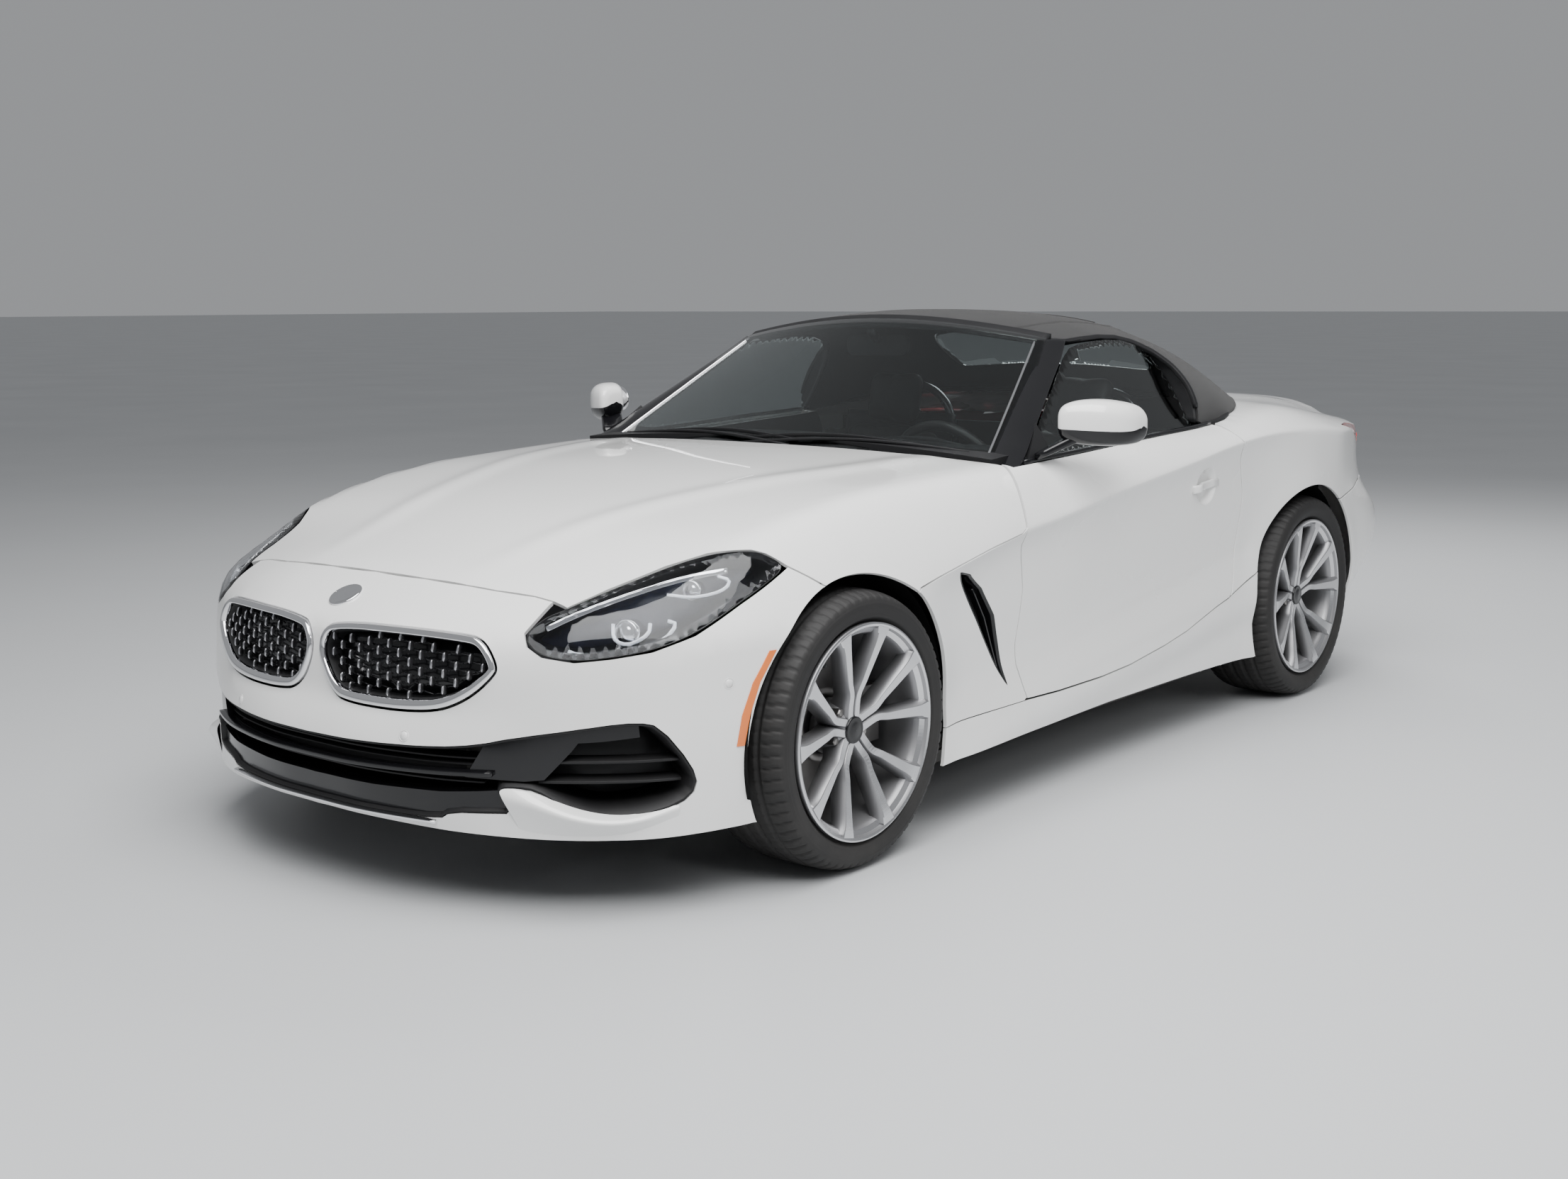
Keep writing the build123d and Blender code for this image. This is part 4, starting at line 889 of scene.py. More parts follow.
both("tail_lamp_outer", BODY, LAMP_OUTER, tail_chart, slot="tail_lens", gap=0.001, lift=0.001,
     thickness=0.020, step=0.018, replaces=["tail_lamps"])
both("tail_lamp_inner", "boot_lid", LAMP_INNER, boot_chart, slot="tail_lens", gap=0.0, lift=0.0045,
     thickness=0.012, step=0.018, edge=0.003)
both("tail_guide_outer", BODY, to_tail(joined(
    from_behind([(0.590, 0.806), (0.700, 0.806), (0.800, 0.808)]),
    from_side([(3.080, 0.814), (3.040, 0.836)]), from_side([(3.060, 0.846), (3.100, 0.832)]),
    from_behind([(0.800, 0.824), (0.700, 0.820), (0.590, 0.820)]),
)), tail_chart, slot="tail_lens", look="tail_glow", gap=0.0, lift=0.0035, thickness=0.006, step=0.012)
both("tail_guide_inner", "boot_lid", to_boot(from_behind([(0.548, 0.820), (0.548, 0.806), (0.480, 0.806),
                                                          (0.452, 0.824), (0.462, 0.832), (0.490, 0.820)])),
     boot_chart, slot="tail_lens", look="tail_glow", gap=0.0, lift=0.0070, thickness=0.006, step=0.012)

# %% [markdown]
# ## Turned, swept and flat pieces
# Wheels, tyres and discs are turned: a profile carried round an axle. Spokes, bars and trim are swept: a
# section carried along a path. Both are grids of points worked out at once, so the rows and columns give
# the faces.

# %% Grids of points
def grid_faces(rows, columns, close_rows=False, close_columns=False):
    """Quads that join each point of a grid to the next row and column, wrapping round where it closes."""
    row = np.arange(rows if close_rows else rows - 1)[:, None]
    column = np.arange(columns if close_columns else columns - 1)[None, :]
    below, beside = (row + 1) % rows, (column + 1) % columns
    corners = (row * columns + column, row * columns + beside, below * columns + beside,
               below * columns + column)
    return np.stack([corner.reshape(-1) for corner in np.broadcast_arrays(*corners)], axis=1)


def outward_mesh(piece):
    """Doubles merged and all faces turned outwards, for a closed form."""
    mesh = bmesh.new()
    mesh.from_mesh(piece.data)
    bmesh.ops.remove_doubles(mesh, verts=mesh.verts, dist=1e-6)
    bmesh.ops.recalc_face_normals(mesh, faces=mesh.faces)
    mesh.to_mesh(piece.data)
    mesh.free()
    return piece


def surface(name, points, body, slot, close_rows=False, close_columns=False, thick=0.0, edge=0.0, **more):
    """A piece from a grid of points (rows, columns, 3), given a wall where thick is set."""
    points = np.asarray(points, float)
    rows, columns = points.shape[:2]
    faces = grid_faces(rows, columns, close_rows, close_columns)
    piece = new_object(name, points.reshape(-1, 3), faces, body, slot, **more)
    if thick:
        walled(piece, thick)
    if edge:
        soften(piece, edge)
    return piece


def lathe(profile, hub, side=1, count=120):
    """Grid of a profile of (out a, radius r) turned about the X axis: hub + (a, r cos t, r sin t)."""
    profile = np.asarray(profile, float)
    turn = np.linspace(0, 2 * np.pi, count, endpoint=False)[:, None]
    out = np.broadcast_to(side * profile[:, 0], (count, len(profile)))
    radius = profile[:, 1]
    return np.stack([hub[0] + out, hub[1] + radius * np.cos(turn), hub[2] + radius * np.sin(turn)], axis=-1)


def sweep(path, section, up=(0, 0, 1), scale=None):
    """Grid of a closed section of (across, up) carried along a path; the section stays square to the path."""
    path, section = np.asarray(path, float), np.asarray(section, float)
    along = np.gradient(path, axis=0)
    along /= np.linalg.norm(along, axis=1)[:, None]
    up = np.broadcast_to(np.asarray(up, float), path.shape)
    across = np.cross(along, up)
    across /= np.maximum(np.linalg.norm(across, axis=1), 1e-9)[:, None]
    risen = np.cross(across, along)
    scale = np.ones((len(path), 1)) if scale is None else np.asarray(scale, float).reshape(len(path), -1)
    wide, tall = scale[:, 0], scale[:, -1]
    return (path[:, None] + (section[None, :, 0] * wide[:, None])[..., None] * across[:, None]
            + (section[None, :, 1] * tall[:, None])[..., None] * risen[:, None])


def rounded_box(half_wide, half_tall, corner, count=5):
    """A closed section: a rectangle with quarter-round corners."""
    quarter = np.linspace(0, np.pi / 2, count)
    turns = np.concatenate([quarter + k * np.pi / 2 for k in range(4)])
    signs = np.repeat([(1, 1), (-1, 1), (-1, -1), (1, -1)], count, axis=0)
    middle = signs * (half_wide - corner, half_tall - corner)
    return middle + corner * np.stack([np.cos(turns), np.sin(turns)], axis=1)


def merged(name, forms, body, slot, edge=0.0, **more):
    """Several grids joined in one closed piece; each form is (grid, close_rows, close_columns, capped).

    A capped grid is closed at both ends by a fan of triangles to the middle of its end ring.
    """
    vertices, faces, start = [], [], 0
    for points, close_rows, close_columns, ends in forms:
        rows, columns = points.shape[:2]
        vertices.append(points.reshape(-1, 3))
        faces += (start + grid_faces(rows, columns, close_rows, close_columns)).tolist()
        start += rows * columns
        if ends:
            vertices.append(np.stack([points[0].mean(axis=0), points[-1].mean(axis=0)]))
            column = np.arange(columns)
            after, first, tip = (column + 1) % columns, start - rows * columns, np.full(columns, start)
            last = start - columns
            faces += np.stack([first + column, tip, first + after], axis=1).tolist()
            faces += np.stack([last + column, last + after, tip + 1], axis=1).tolist()
            start += 2
    piece = outward_mesh(new_object(name, np.concatenate(vertices), faces, body, slot, **more))
    return soften(piece, edge) if edge else piece


def capped(name, grid, body, slot, edge=0.0, **more):
    """A swept form, closed round its section and at both ends."""
    return merged(name, [(grid, False, True, True)], body, slot, edge, **more)


def swept(name, path, box, body, slot, up=(0, 0, 1), scale=None, **more):
    """A bar swept along a path; box = (half width, half height, corner, points per corner) is its section."""
    return capped(name, sweep(path, rounded_box(*box), up, scale), body, slot, **more)


def back_plate(name, outline, place, sunk, slot, side=1, step=0.03, thick=0.003, look=None):
    """A plate behind an opening: every second point of its outline, filled and sunk under the skin."""
    flat, faces = filled(outline[::2], step=step)
    points = place(flat, sunk) * (side, 1, 1)
    return walled(new_object(name, points, facing_out(points, faces, outward), BODY, slot, look=look), thick)


# %% [markdown]
# ## Wheels
# The rims have five pairs of spokes. The two spokes of a pair leave the hub side by side and part like a Y,
# and their faces are cut bright while the pockets stay grey. A tyre is a turned profile whose tread has
# rain grooves all round and short slots across its shoulders.

# %% Rim, spokes, cap, nuts and disc
PAIR_SPREAD = math.radians(17.2)
RIM_PROFILE = [
    (0.121, 0.2570), (0.1225, 0.2530), (0.1205, 0.2475), (0.112, 0.2440), (0.104, 0.2330), (0.088, 0.2265),
    (0.040, 0.2230), (-0.050, 0.2200), (-0.112, 0.2230), (-0.119, 0.2300), (-0.119, 0.2560), (-0.106, 0.2565),
    (-0.1045, 0.2405), (0.1045, 0.2405), (0.106, 0.2565),
]
SPOKE_ROOT = 0.030
SPOKE_PART = 0.098
SPOKE_TIP = 0.2475
SPOKE_APART = 0.0125
CUT_FACING = 0.80
FACE_OUT = through([0.03, 0.06, 0.10, 0.17, 0.225, 0.25], [0.080, 0.083, 0.091, 0.106, 0.1175, 0.1205])
SPOKE_HALF = through([0.03, 0.07, 0.10, 0.17, 0.22, 0.25], [0.0095, 0.0095, 0.0090, 0.0120, 0.0150, 0.0225])
SPOKE_DEEP = through([0.03, 0.08, 0.14, 0.22, 0.25], [0.050, 0.046, 0.040, 0.034, 0.026])


def spoke(centre_angle, lean):
    """One spoke in the wheel's own frame (out, back, up).

    Along its radius it first runs beside its twin and then leans away; its section is a bright flat face
    with two flanks that widen inwards.
    """
    radius = np.linspace(SPOKE_ROOT, SPOKE_TIP, 26)
    share = smooth_step(SPOKE_PART - 0.035, SPOKE_PART + 0.02, radius)
    fan = np.clip((radius - SPOKE_PART + 0.020) / (SPOKE_TIP - SPOKE_PART + 0.020), 0, 1)
    spread = SPOKE_TIP * math.sin(PAIR_SPREAD) - SPOKE_APART
    beside = SPOKE_APART * (1 - share) + share * (SPOKE_APART + fan * spread)
    along = np.sqrt(np.maximum(radius ** 2 - beside ** 2, 1e-6))
    path = np.stack([along, lean * beside], axis=1)
    direction = np.gradient(path, axis=0)
    direction /= np.linalg.norm(direction, axis=1)[:, None]
    across = np.stack([-direction[:, 1], direction[:, 0]], axis=1)
    half, out, deep = SPOKE_HALF(radius), FACE_OUT(radius), SPOKE_DEEP(radius)
    sides = [(-1.0, 0.0), (-0.86, 0.0016), (0.86, 0.0016), (1.0, 0.0), (1.30, -0.35), (1.55, -1.0),
             (-1.55, -1.0), (-1.30, -0.35)]
    rings = []
    for wide, drop in sides:
        level = out + (drop if drop > 0 else drop * deep)
        place = path + across * (wide * half)[:, None]
        rings.append(np.stack([level, place[:, 0], place[:, 1]], axis=1))
    local = np.stack(rings, axis=1)
    turn = np.array([[np.cos(centre_angle), -np.sin(centre_angle)],
                     [np.sin(centre_angle), np.cos(centre_angle)]])
    local[..., 1:] = local[..., 1:] @ turn.T
    return local


def on_wheel(local, hub, side):
    """Points of the wheel's own frame (out, back, up) placed at a hub."""
    return local * (side, 1, 1) + hub


def bright_faces(piece, side, hub, low):
    """The second finish for faces that look outwards along the axle: the cut face of a rim or spoke."""
    out = (face_rows(piece, "center")[:, 0] - hub[0]) * side
    cut = (face_rows(piece, "normal")[:, 0] * side > CUT_FACING) & (out > low)
    second_finish(piece, "wheel_alloy", cut)
    piece.data.polygons.foreach_set("use_smooth", ~cut)


def wheel(end, word, side, hub, body):
    """One rim with its spokes, a plain cap, five nuts and a valve; it stands for the measured wheel."""
    forms = [(on_wheel(spoke(math.radians(92 + 72 * pair), lean), hub, side), False, True, True)
             for pair in range(5) for lean in (-1, 1)]
    spokes = merged(f"{end}_spokes_{word}", forms, body, "wheel_alloy", look="wheel_pocket")
    bright_faces(spokes, side, hub, 0.05)
    rim_grid = lathe(RIM_PROFILE, hub, side, 160)
    rim = surface(f"{end}_rim_{word}", rim_grid, body, "wheel_alloy", True, True, look="wheel_pocket")
    outward_mesh(rim)
    bright_faces(rim, side, hub, 0.100)
    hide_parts(f"{end}_wheel_{word}")
    hub_profile = [(0.0, 0.0005), (0.0, 0.066), (0.036, 0.070), (0.060, 0.060), (0.070, 0.046),
                   (0.078, 0.036), (0.080, 0.0330), (0.0775, 0.0005)]
    surface(f"{end}_hub_{word}", lathe(hub_profile, hub, side, 60), body, "wheel_alloy", True, False,
            look="wheel_pocket")
    cap_profile = [(0.074, 0.0005), (0.074, 0.0320), (0.084, 0.0322), (0.0858, 0.0300), (0.0850, 0.0275),
                   (0.0872, 0.0180), (0.0882, 0.0005)]
    surface(f"{end}_cap_{word}", lathe(cap_profile, hub, side, 60), body, "black_plastic", True, False,
            look="gloss_black")
    nut_profile = [(0.040, 0.0003), (0.040, 0.0115), (0.068, 0.0110), (0.0715, 0.0080), (0.0720, 0.0003)]
    nuts = []
    for index in range(5):
        angle = math.radians(56 + 72 * index)
        place = hub + np.array([0, 0.056 * math.cos(angle), 0.056 * math.sin(angle)])
        nuts.append((lathe(nut_profile, place, side, 6), True, False, False))
    merged(f"{end}_nuts_{word}", nuts, body, "wheel_alloy", edge=0.0008, smooth=False, look="brake_metal")
    angle = math.radians(92 + 36)
    valve_at = hub + np.array([side * 0.085, 0.224 * math.cos(angle), 0.224 * math.sin(angle)])
    valve = [(-0.03, 0.0003), (-0.03, 0.0045), (0.008, 0.0042), (0.009, 0.0055), (0.020, 0.0052),
             (0.021, 0.0003)]
    surface(f"{end}_valve_{word}", lathe(valve, valve_at, side, 14), body, "black_plastic", True, False)
    return rim


DISC_PROFILE = [(-0.058, 0.062), (-0.058, 0.168), (-0.050, 0.172), (-0.048, 0.172), (-0.040, 0.166),
                (-0.040, 0.160), (-0.036, 0.160), (-0.036, 0.172), (-0.029, 0.172), (-0.028, 0.168),
                (-0.028, 0.094), (-0.010, 0.090), (-0.006, 0.084), (-0.006, 0.062)]


# %% Tyres
# place across and width of each rain groove
RAIN_GROOVES = ((-0.062, 0.0095), (-0.021, 0.0105), (0.021, 0.0105), (0.062, 0.0095))
TREAD_SLOTS = 72
GROOVE_DEEP = 0.0065
SLOT_DEEP = 0.0055
DEEPEST = 0.007


def tyre(end, word, side, hub, radius, half_tread, body):
    """A tyre: the section's radius falls in four rain grooves and in slots across each shoulder."""
    across = np.linspace(-1, 1, 61)
    wall = np.array([
        (0.1045, 0.2395), (0.1045, 0.2555), (0.1100, 0.2620), (0.1190, 0.2690), (half_tread - 0.0015, 0.2800),
        (half_tread, 0.2900), (half_tread - 0.001, 0.3000), (half_tread - 0.004, 0.3090),
    ])
    wall[4:, 1] += radius - 0.331
    tread_half = half_tread - 0.006
    x = across * tread_half
    crown = radius - 0.016 * np.abs(across) ** 5
    turn = np.linspace(0, 2 * np.pi, 432, endpoint=False)
    groove = np.zeros((len(turn), len(x)))
    for centre, width in RAIN_GROOVES:
        groove += GROOVE_DEEP * np.exp(-((x - centre) / (width / 2)) ** 6)[None]
    slot_turn = turn[:, None] * TREAD_SLOTS / (2 * np.pi) + 6.0 * (np.abs(x)[None] - 0.08)
    off_slot = slot_turn - np.round(slot_turn)
    slot = np.exp(-(off_slot / 0.10) ** 4)
    shoulder = smooth_step(0.070, 0.078, np.abs(x))[None]
    blocks = np.exp(-(off_slot / 0.06) ** 4) * (1 - shoulder) * 0.4
    groove += SLOT_DEEP * slot * shoulder + SLOT_DEEP * blocks
    rows = crown[None] - np.clip(groove, 0, DEEPEST)
    tread = np.stack([np.broadcast_to(x, rows.shape), rows], axis=-1)
    steps = np.linspace(0, 1, 25)
    lengths = np.concatenate([[0], np.cumsum(np.linalg.norm(np.diff(wall, axis=0), axis=1))])
    side_x = np.interp(steps * lengths[-1], lengths, wall[:, 0])
    side_r = np.interp(steps * lengths[-1], lengths, wall[:, 1])
    relief = (0.0009 * np.exp(-((side_r - 0.272) / 0.0016) ** 2)
              + 0.0009 * np.exp(-((side_r - 0.300) / 0.0014) ** 2))
    side_x = side_x + relief
    right = np.broadcast_to(np.stack([side_x, side_r], axis=-1), (len(turn), len(steps), 2))
    left = right[:, ::-1] * (-1, 1)
    inner = np.broadcast_to(np.array([(0.09, 0.2402), (-0.09, 0.2402)]), (len(turn), 2, 2))
    section = np.concatenate([left[:, :-1], tread, right[:, ::-1][:, 1:], inner], axis=1)
    cosine, sine = np.cos(turn)[:, None], np.sin(turn)[:, None]
    grid = np.stack([hub[0] + side * section[..., 0], hub[1] + section[..., 1] * cosine,
                     hub[2] + section[..., 1] * sine], axis=-1)
    piece = surface(f"{end}_tyre_piece_{word}", grid, body, "tyre", True, True)
    outward_mesh(piece)
    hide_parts(f"{end}_tyre_{word}")
    return piece


for end, hub, radius, half_tread in (("front", FRONT_HUB, 0.331, 0.122), ("rear", REAR_HUB, 0.337, 0.128)):
    for side, word in SIDES:
        at = hub * (side, 1, 1)
        rides = f"{end}_wheel_{word}"
        wheel(end, word, side, at, rides)
        surface(f"{end}_disc_{word}", lathe(DISC_PROFILE, at, side, 90), rides, "brake_metal", True, True)
        tyre(end, word, side, at, radius, half_tread, rides)

# %% [markdown]
# ## Nose: kidneys, lamps and lower intake
# Each kidney is a bright frame that stands a little proud of the bumper, round a dark recess full of small
# upright bars on a lattice of thin rods. The frame is a ring swept round the opening, the bars one small form
# repeated on a staggered grid.

# %% Rings round an opening
def ring_forms(outline, steps, place):
    """A closed ring: the outline shrunk by each step's first number and sunk by its second."""
    loops = [place(shrunk(outline, shrink), sunk) for shrink, sunk in steps]
    return np.stack(loops, axis=0)


FRAME_STEPS = [(0.0025, 0.020), (0.0025, -0.001), (0.0036, -0.0056), (0.0060, -0.0082), (0.0150, -0.0074),
               (0.0175, -0.0056), (0.0186, -0.001), (0.0192, 0.010), (0.0160, 0.012), (0.0060, 0.020)]
WALL_STEPS = [(0.0180, 0.006), (0.0196, 0.008), (0.0202, 0.045), (0.0215, 0.047), (0.0180, 0.060)]
kidney_low, kidney_high = KIDNEY_CHART[:, 1].min(), KIDNEY_CHART[:, 1].max()


def kidney_ring(shrink):
    """The kidney outline shrunk, its lower half raised further, so that the frame is thickest below."""
    loop = shrunk(KIDNEY_CHART, shrink)
    below = np.clip((kidney_high + kidney_low - 2 * loop[:, 1]) / (kidney_high - kidney_low), 0, 1)
    return loop + np.stack([np.zeros(len(loop)), 0.55 * shrink * below ** 0.7], axis=1)


bars, rods = [], []
BAR_PITCH, BAR_RISE, BAR_LOW, BAR_TALL = 0.0300, 0.0370, 0.436, 0.0112
BAR = rounded_box(0.0026, 0.0060, 0.0012, 3)
for side, word in SIDES:
    ring = np.stack([on_nose(kidney_ring(shrink), sunk) for shrink, sunk in FRAME_STEPS]) * (side, 1, 1)
    frame_piece = surface(f"kidney_frame_{word}", ring, BODY, "bright_trim", close_columns=True)
    outward_mesh(frame_piece)
    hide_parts("kidney_frames")
    wall = np.stack([on_nose(kidney_ring(shrink), sunk) for shrink, sunk in WALL_STEPS]) * (side, 1, 1)
    outward_mesh(surface(f"kidney_wall_{word}", wall, BODY, "gloss_black", close_columns=True,
                         look="black_plastic"))
    plate = back_plate(f"kidney_back_{word}", kidney_ring(0.019), on_nose, 0.046, "gloss_black", side,
                       thick=0.004)
    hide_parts("kidney_meshes")
inner = kidney_ring(0.021)
for number, across in enumerate(np.arange(0.048, 0.50, BAR_PITCH)):
    for row in range(6):
        height = BAR_LOW + BAR_RISE * row + BAR_RISE / 2 * (number % 2)
        spot = to_nose(from_front([(across, height)]))
        if not inside(inner, spot)[0]:
            continue
        ends = [(across, height + share * BAR_TALL) for share in (-1, -0.6, 0.6, 1)]
        path = on_nose(to_nose(from_front(ends)), 0.014)
        bars.append((path, np.array([0.45, 1.0, 1.0, 0.45])))
        for lean in (-1, 1):
            low_end = (across + lean * BAR_PITCH, height - BAR_RISE / 2 + BAR_TALL * 0.5)
            reach = to_nose(from_front([(across, height - BAR_TALL * 0.6), low_end]))
            if inside(inner, reach).all():
                rods.append(on_nose(reach, 0.026))
for side, word in SIDES:
    forms = [(sweep(path * (side, 1, 1), BAR, up=(0, -1, 0), scale=size), False, True, True)
             for path, size in bars]
    merged(f"kidney_bars_{word}", forms, BODY, "bright_trim", look="satin_trim")
    rod = rounded_box(0.0016, 0.0022, 0.0006, 2)
    forms = [(sweep(path * (side, 1, 1), rod, up=(0, -1, 0)), False, True, True) for path in rods]
    merged(f"kidney_rods_{word}", forms, BODY, "gloss_black")
print("kidney bars", 2 * len(bars), "rods", 2 * len(rods))

# %% Badge places, sensors and side markers
def button(name, centre, out, radii, body, slot, look=None, count=40):
    """A round turned piece on a surface: rings of (radius, height above the surface) about a direction."""
    centre, out = np.asarray(centre, float), np.asarray(out, float)
    out = out / np.linalg.norm(out)
    side = np.cross(out, (0, 0, 1.0))
    side = side / np.linalg.norm(side) if np.linalg.norm(side) > 0.05 else np.array([1.0, 0, 0])
    up = np.cross(side, out)
    turn = np.linspace(0, 2 * np.pi, count, endpoint=False)
    ring = np.cos(turn)[:, None] * side + np.sin(turn)[:, None] * up
    grid = np.stack([centre + radius * ring + height * out for radius, height in radii], axis=1)
    piece = surface(name, grid, body, slot, close_rows=True, look=look)
    return outward_mesh(piece)


def skin_normal(point):
    """The outward direction of the skin at a point, from differences of the skin's formula."""
    place = np.array([point[0], point[1] - FRONT_AXLE, point[2]], float)
    step = np.eye(3) * 0.004
    return np.array([skin(*(place + d)) - skin(*(place - d)) for d in step])


def placed(points):
    """Points given by station moved to their place along the car."""
    return points + (0, FRONT_AXLE, 0)


badge = placed(from_above([(0.0, -0.757)]))[0]
DISC_RINGS = [(0.0005, -0.002), (0.0405, -0.002), (0.0405, 0.0030), (0.0385, 0.0048), (0.0355, 0.0042),
              (0.0340, 0.0030), (0.0180, 0.0042), (0.0005, 0.0046)]
button("nose_disc", badge, skin_normal(badge), DISC_RINGS, BODY, "bright_trim")
SENSOR_RINGS = [(0.0005, -0.004), (0.0125, -0.004), (0.0125, 0.0004), (0.0112, 0.0004), (0.0108, -0.0006),
                (0.0098, -0.0006), (0.0092, 0.0008), (0.0005, 0.0010)]
for side, word in SIDES:
    for number, place in enumerate(placed(joined(from_front([(0.300, 0.390)]),
                                                 from_side([(-0.409, 0.505)])))):
        spot = place * (side, 1, 1)
        button(f"front_sensor_{word}_{number}", spot, skin_normal(spot), SENSOR_RINGS, BODY, "paint",
               count=28)
MARKER = [(-0.310, 0.566), (-0.292, 0.566), (-0.336, 0.500), (-0.363, 0.430), (-0.376, 0.364),
          (-0.394, 0.364), (-0.382, 0.430), (-0.354, 0.500)]
both("side_marker", BODY, to_over(from_side(MARKER)), over_chart, slot="tail_lens", look="marker_lens",
     step=0.01, gap=0.0, thickness=0.006, lift=0.0022, edge=0.0008)

# %% [markdown]
# ## Headlamps
# A lamp is a clear cover over a dark bowl. In the bowl lie a bright bar along its upper edge, three angular
# light guides and two projectors. The cover continues the skin, the bowl is the same outline sunk into the
# body.

# %% Lamp cover, bowl and light guides
lamp_outline = to_nose(joined(lamp_front, lamp_low, from_side(LAMP_REAR[:1]), from_above(BONNET_LAMP[::-1]),
                              from_above([(0.546, -0.655)])))
lamp_loop = dense(rounded(lamp_outline, 3), 0.006)
BOWL_STEPS = [(0.0030, 0.0015), (0.0042, 0.0035), (0.0140, 0.0050), (0.0180, 0.016), (0.0300, 0.055)]
for side, word in SIDES:
    cover = panel(f"lamp_cover_{word}", BODY, lamp_loop, nose_chart, slot="lamp_lens", side=side,
                  thickness=0.003, gap=0.0030, edge=0, step=0.025)
    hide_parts("headlamps")
    ring = ring_forms(lamp_loop, BOWL_STEPS, on_nose) * (side, 1, 1)
    surface(f"lamp_bowl_{word}", ring, BODY, "gloss_black", close_columns=True, thick=0.002)
    back_plate(f"lamp_back_{word}", shrunk(lamp_loop, 0.029), on_nose, 0.054, "lamp_lens", side,
               look="lamp_inside")


def lamp_strip(name, points, sunk, wide, deep, slot="lamp_lens", look="light_guide"):
    """A bar inside both lamps, swept along (across, station, height) points sunk under the cover."""
    line = rounded(to_nose(np.asarray(points, float)), 1, closed=False)
    path = on_nose(dense(line, 0.012, closed=False), sunk)
    ups = path - NOSE_POST
    for side, word in SIDES:
        swept(f"{name}_{word}", path * (side, 1, 1), (wide, deep, min(wide, deep) * 0.45, 3), BODY, slot,
              ups * (side, 1, 1), look=look)


lamp_strip("lamp_brow", [
    (0.566, -0.668, 0.628), (0.590, -0.625, 0.648), (0.622, -0.562, 0.670), (0.655, -0.492, 0.690),
    (0.692, -0.420, 0.708), (0.730, -0.368, 0.721), (0.766, -0.315, 0.729),
], 0.012, 0.0065, 0.004, "bright_trim", "bright_trim")
lamp_strip("lamp_guide_front", [
    (0.632, -0.668, 0.588), (0.650, -0.658, 0.581), (0.697, -0.622, 0.584), (0.751, -0.570, 0.591),
    (0.781, -0.522, 0.609), (0.785, -0.486, 0.640), (0.770, -0.500, 0.646),
], 0.018, 0.0042, 0.004)
lamp_strip("lamp_guide_middle", [
    (0.690, -0.588, 0.642), (0.703, -0.602, 0.616), (0.720, -0.595, 0.603), (0.740, -0.576, 0.604),
    (0.757, -0.545, 0.623), (0.750, -0.533, 0.643),
], 0.020, 0.0040, 0.004)
lamp_strip("lamp_guide_rear", [
    (0.727, -0.457, 0.693), (0.765, -0.424, 0.686), (0.788, -0.378, 0.690), (0.797, -0.342, 0.700),
    (0.788, -0.322, 0.714), (0.765, -0.340, 0.722),
], 0.018, 0.0036, 0.0036)
LENS_RINGS = [(0.0005, -0.030), (0.030, -0.030), (0.0300, 0.004), (0.0275, 0.0065), (0.0255, 0.004),
              (0.0240, 0.002), (0.0180, 0.0080), (0.0090, 0.0115), (0.0005, 0.0125)]
for number, spot in enumerate(((0.722, -0.575, 0.624), (0.760, -0.402, 0.702))):
    for side, word in SIDES:
        place = on_nose(to_nose(np.array([spot])), 0.034)[0] * (side, 1, 1)
        aim = (side * 0.25, -1.0, 0.06)
        size = 1.0 if number == 0 else 0.72
        button(f"lamp_projector_{word}_{number}", place, aim, [(r * size, h * size) for r, h in LENS_RINGS],
               BODY, "bright_trim")

# %% [markdown]
# ## Lower intake
# The wide opening under the bumper is lined in dark plastic. Level blades cross its middle, a gloss strut
# divides off a pocket at each end, and a thin bright strip edges the lip.

# %% Lining, blades, struts and lip
LINING = [(-0.001, 0.004), (0.0020, 0.006), (0.0080, 0.040), (0.0120, 0.100)]
ring = ring_forms(INTAKE_CHART, LINING, on_nose)
lining = surface("intake_lining", ring, BODY, "gloss_black", close_columns=True, thick=0.003,
                 look="black_plastic")
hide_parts("intake_grille")
back_plate("intake_back", shrunk(INTAKE_CHART, 0.011), on_nose, 0.099, "gloss_black", step=0.05, thick=0.004,
           look="black_plastic")


def nose_bar(name, points, sunk, wide, deep, slot, look=None):
    """A bar across the nose along (across, height) points; wide is half its height, deep half its depth."""
    line = to_nose(from_front(points))
    path = on_nose(dense(rounded(line, 1, closed=False), 0.02, closed=False), sunk)
    ups = path - NOSE_POST
    return swept(name, path, (wide, deep, min(wide, deep) * 0.3, 3), BODY, slot, ups, look=look)


def level(height, reach, rise=0.0):
    """Points of a level line across the nose from one reach to the other, rising by rise at its ends."""
    return [(x, height + rise * (x / reach) ** 2) for x in np.linspace(-reach, reach, 17)]


nose_bar("intake_blade", level(0.313, 0.500, 0.006), 0.014, 0.0050, 0.014, "gloss_black")
for number, height in enumerate((0.344, 0.329, 0.289)):
    nose_bar(f"intake_slat_{number}", level(height, 0.480), 0.050, 0.0022, 0.020, "gloss_black",
             "black_plastic")
lip_line = to_nose(from_front([
    (0.0, 0.262), (0.200, 0.263), (0.380, 0.268), (0.470, 0.276), (0.514, 0.281), (0.533, 0.236),
    (0.546, 0.200), (0.480, 0.192), (0.370, 0.190), (0.200, 0.189), (0.0, 0.189),
]))
panel("intake_lip", BODY, mirrored(lip_line), nose_chart, slot="gloss_black", thickness=0.030, gap=0.0,
      lift=-0.0125, edge=0.004)
nose_bar("lip_strip", level(0.2060, 0.366), -0.005, 0.0030, 0.0060, "bright_trim")
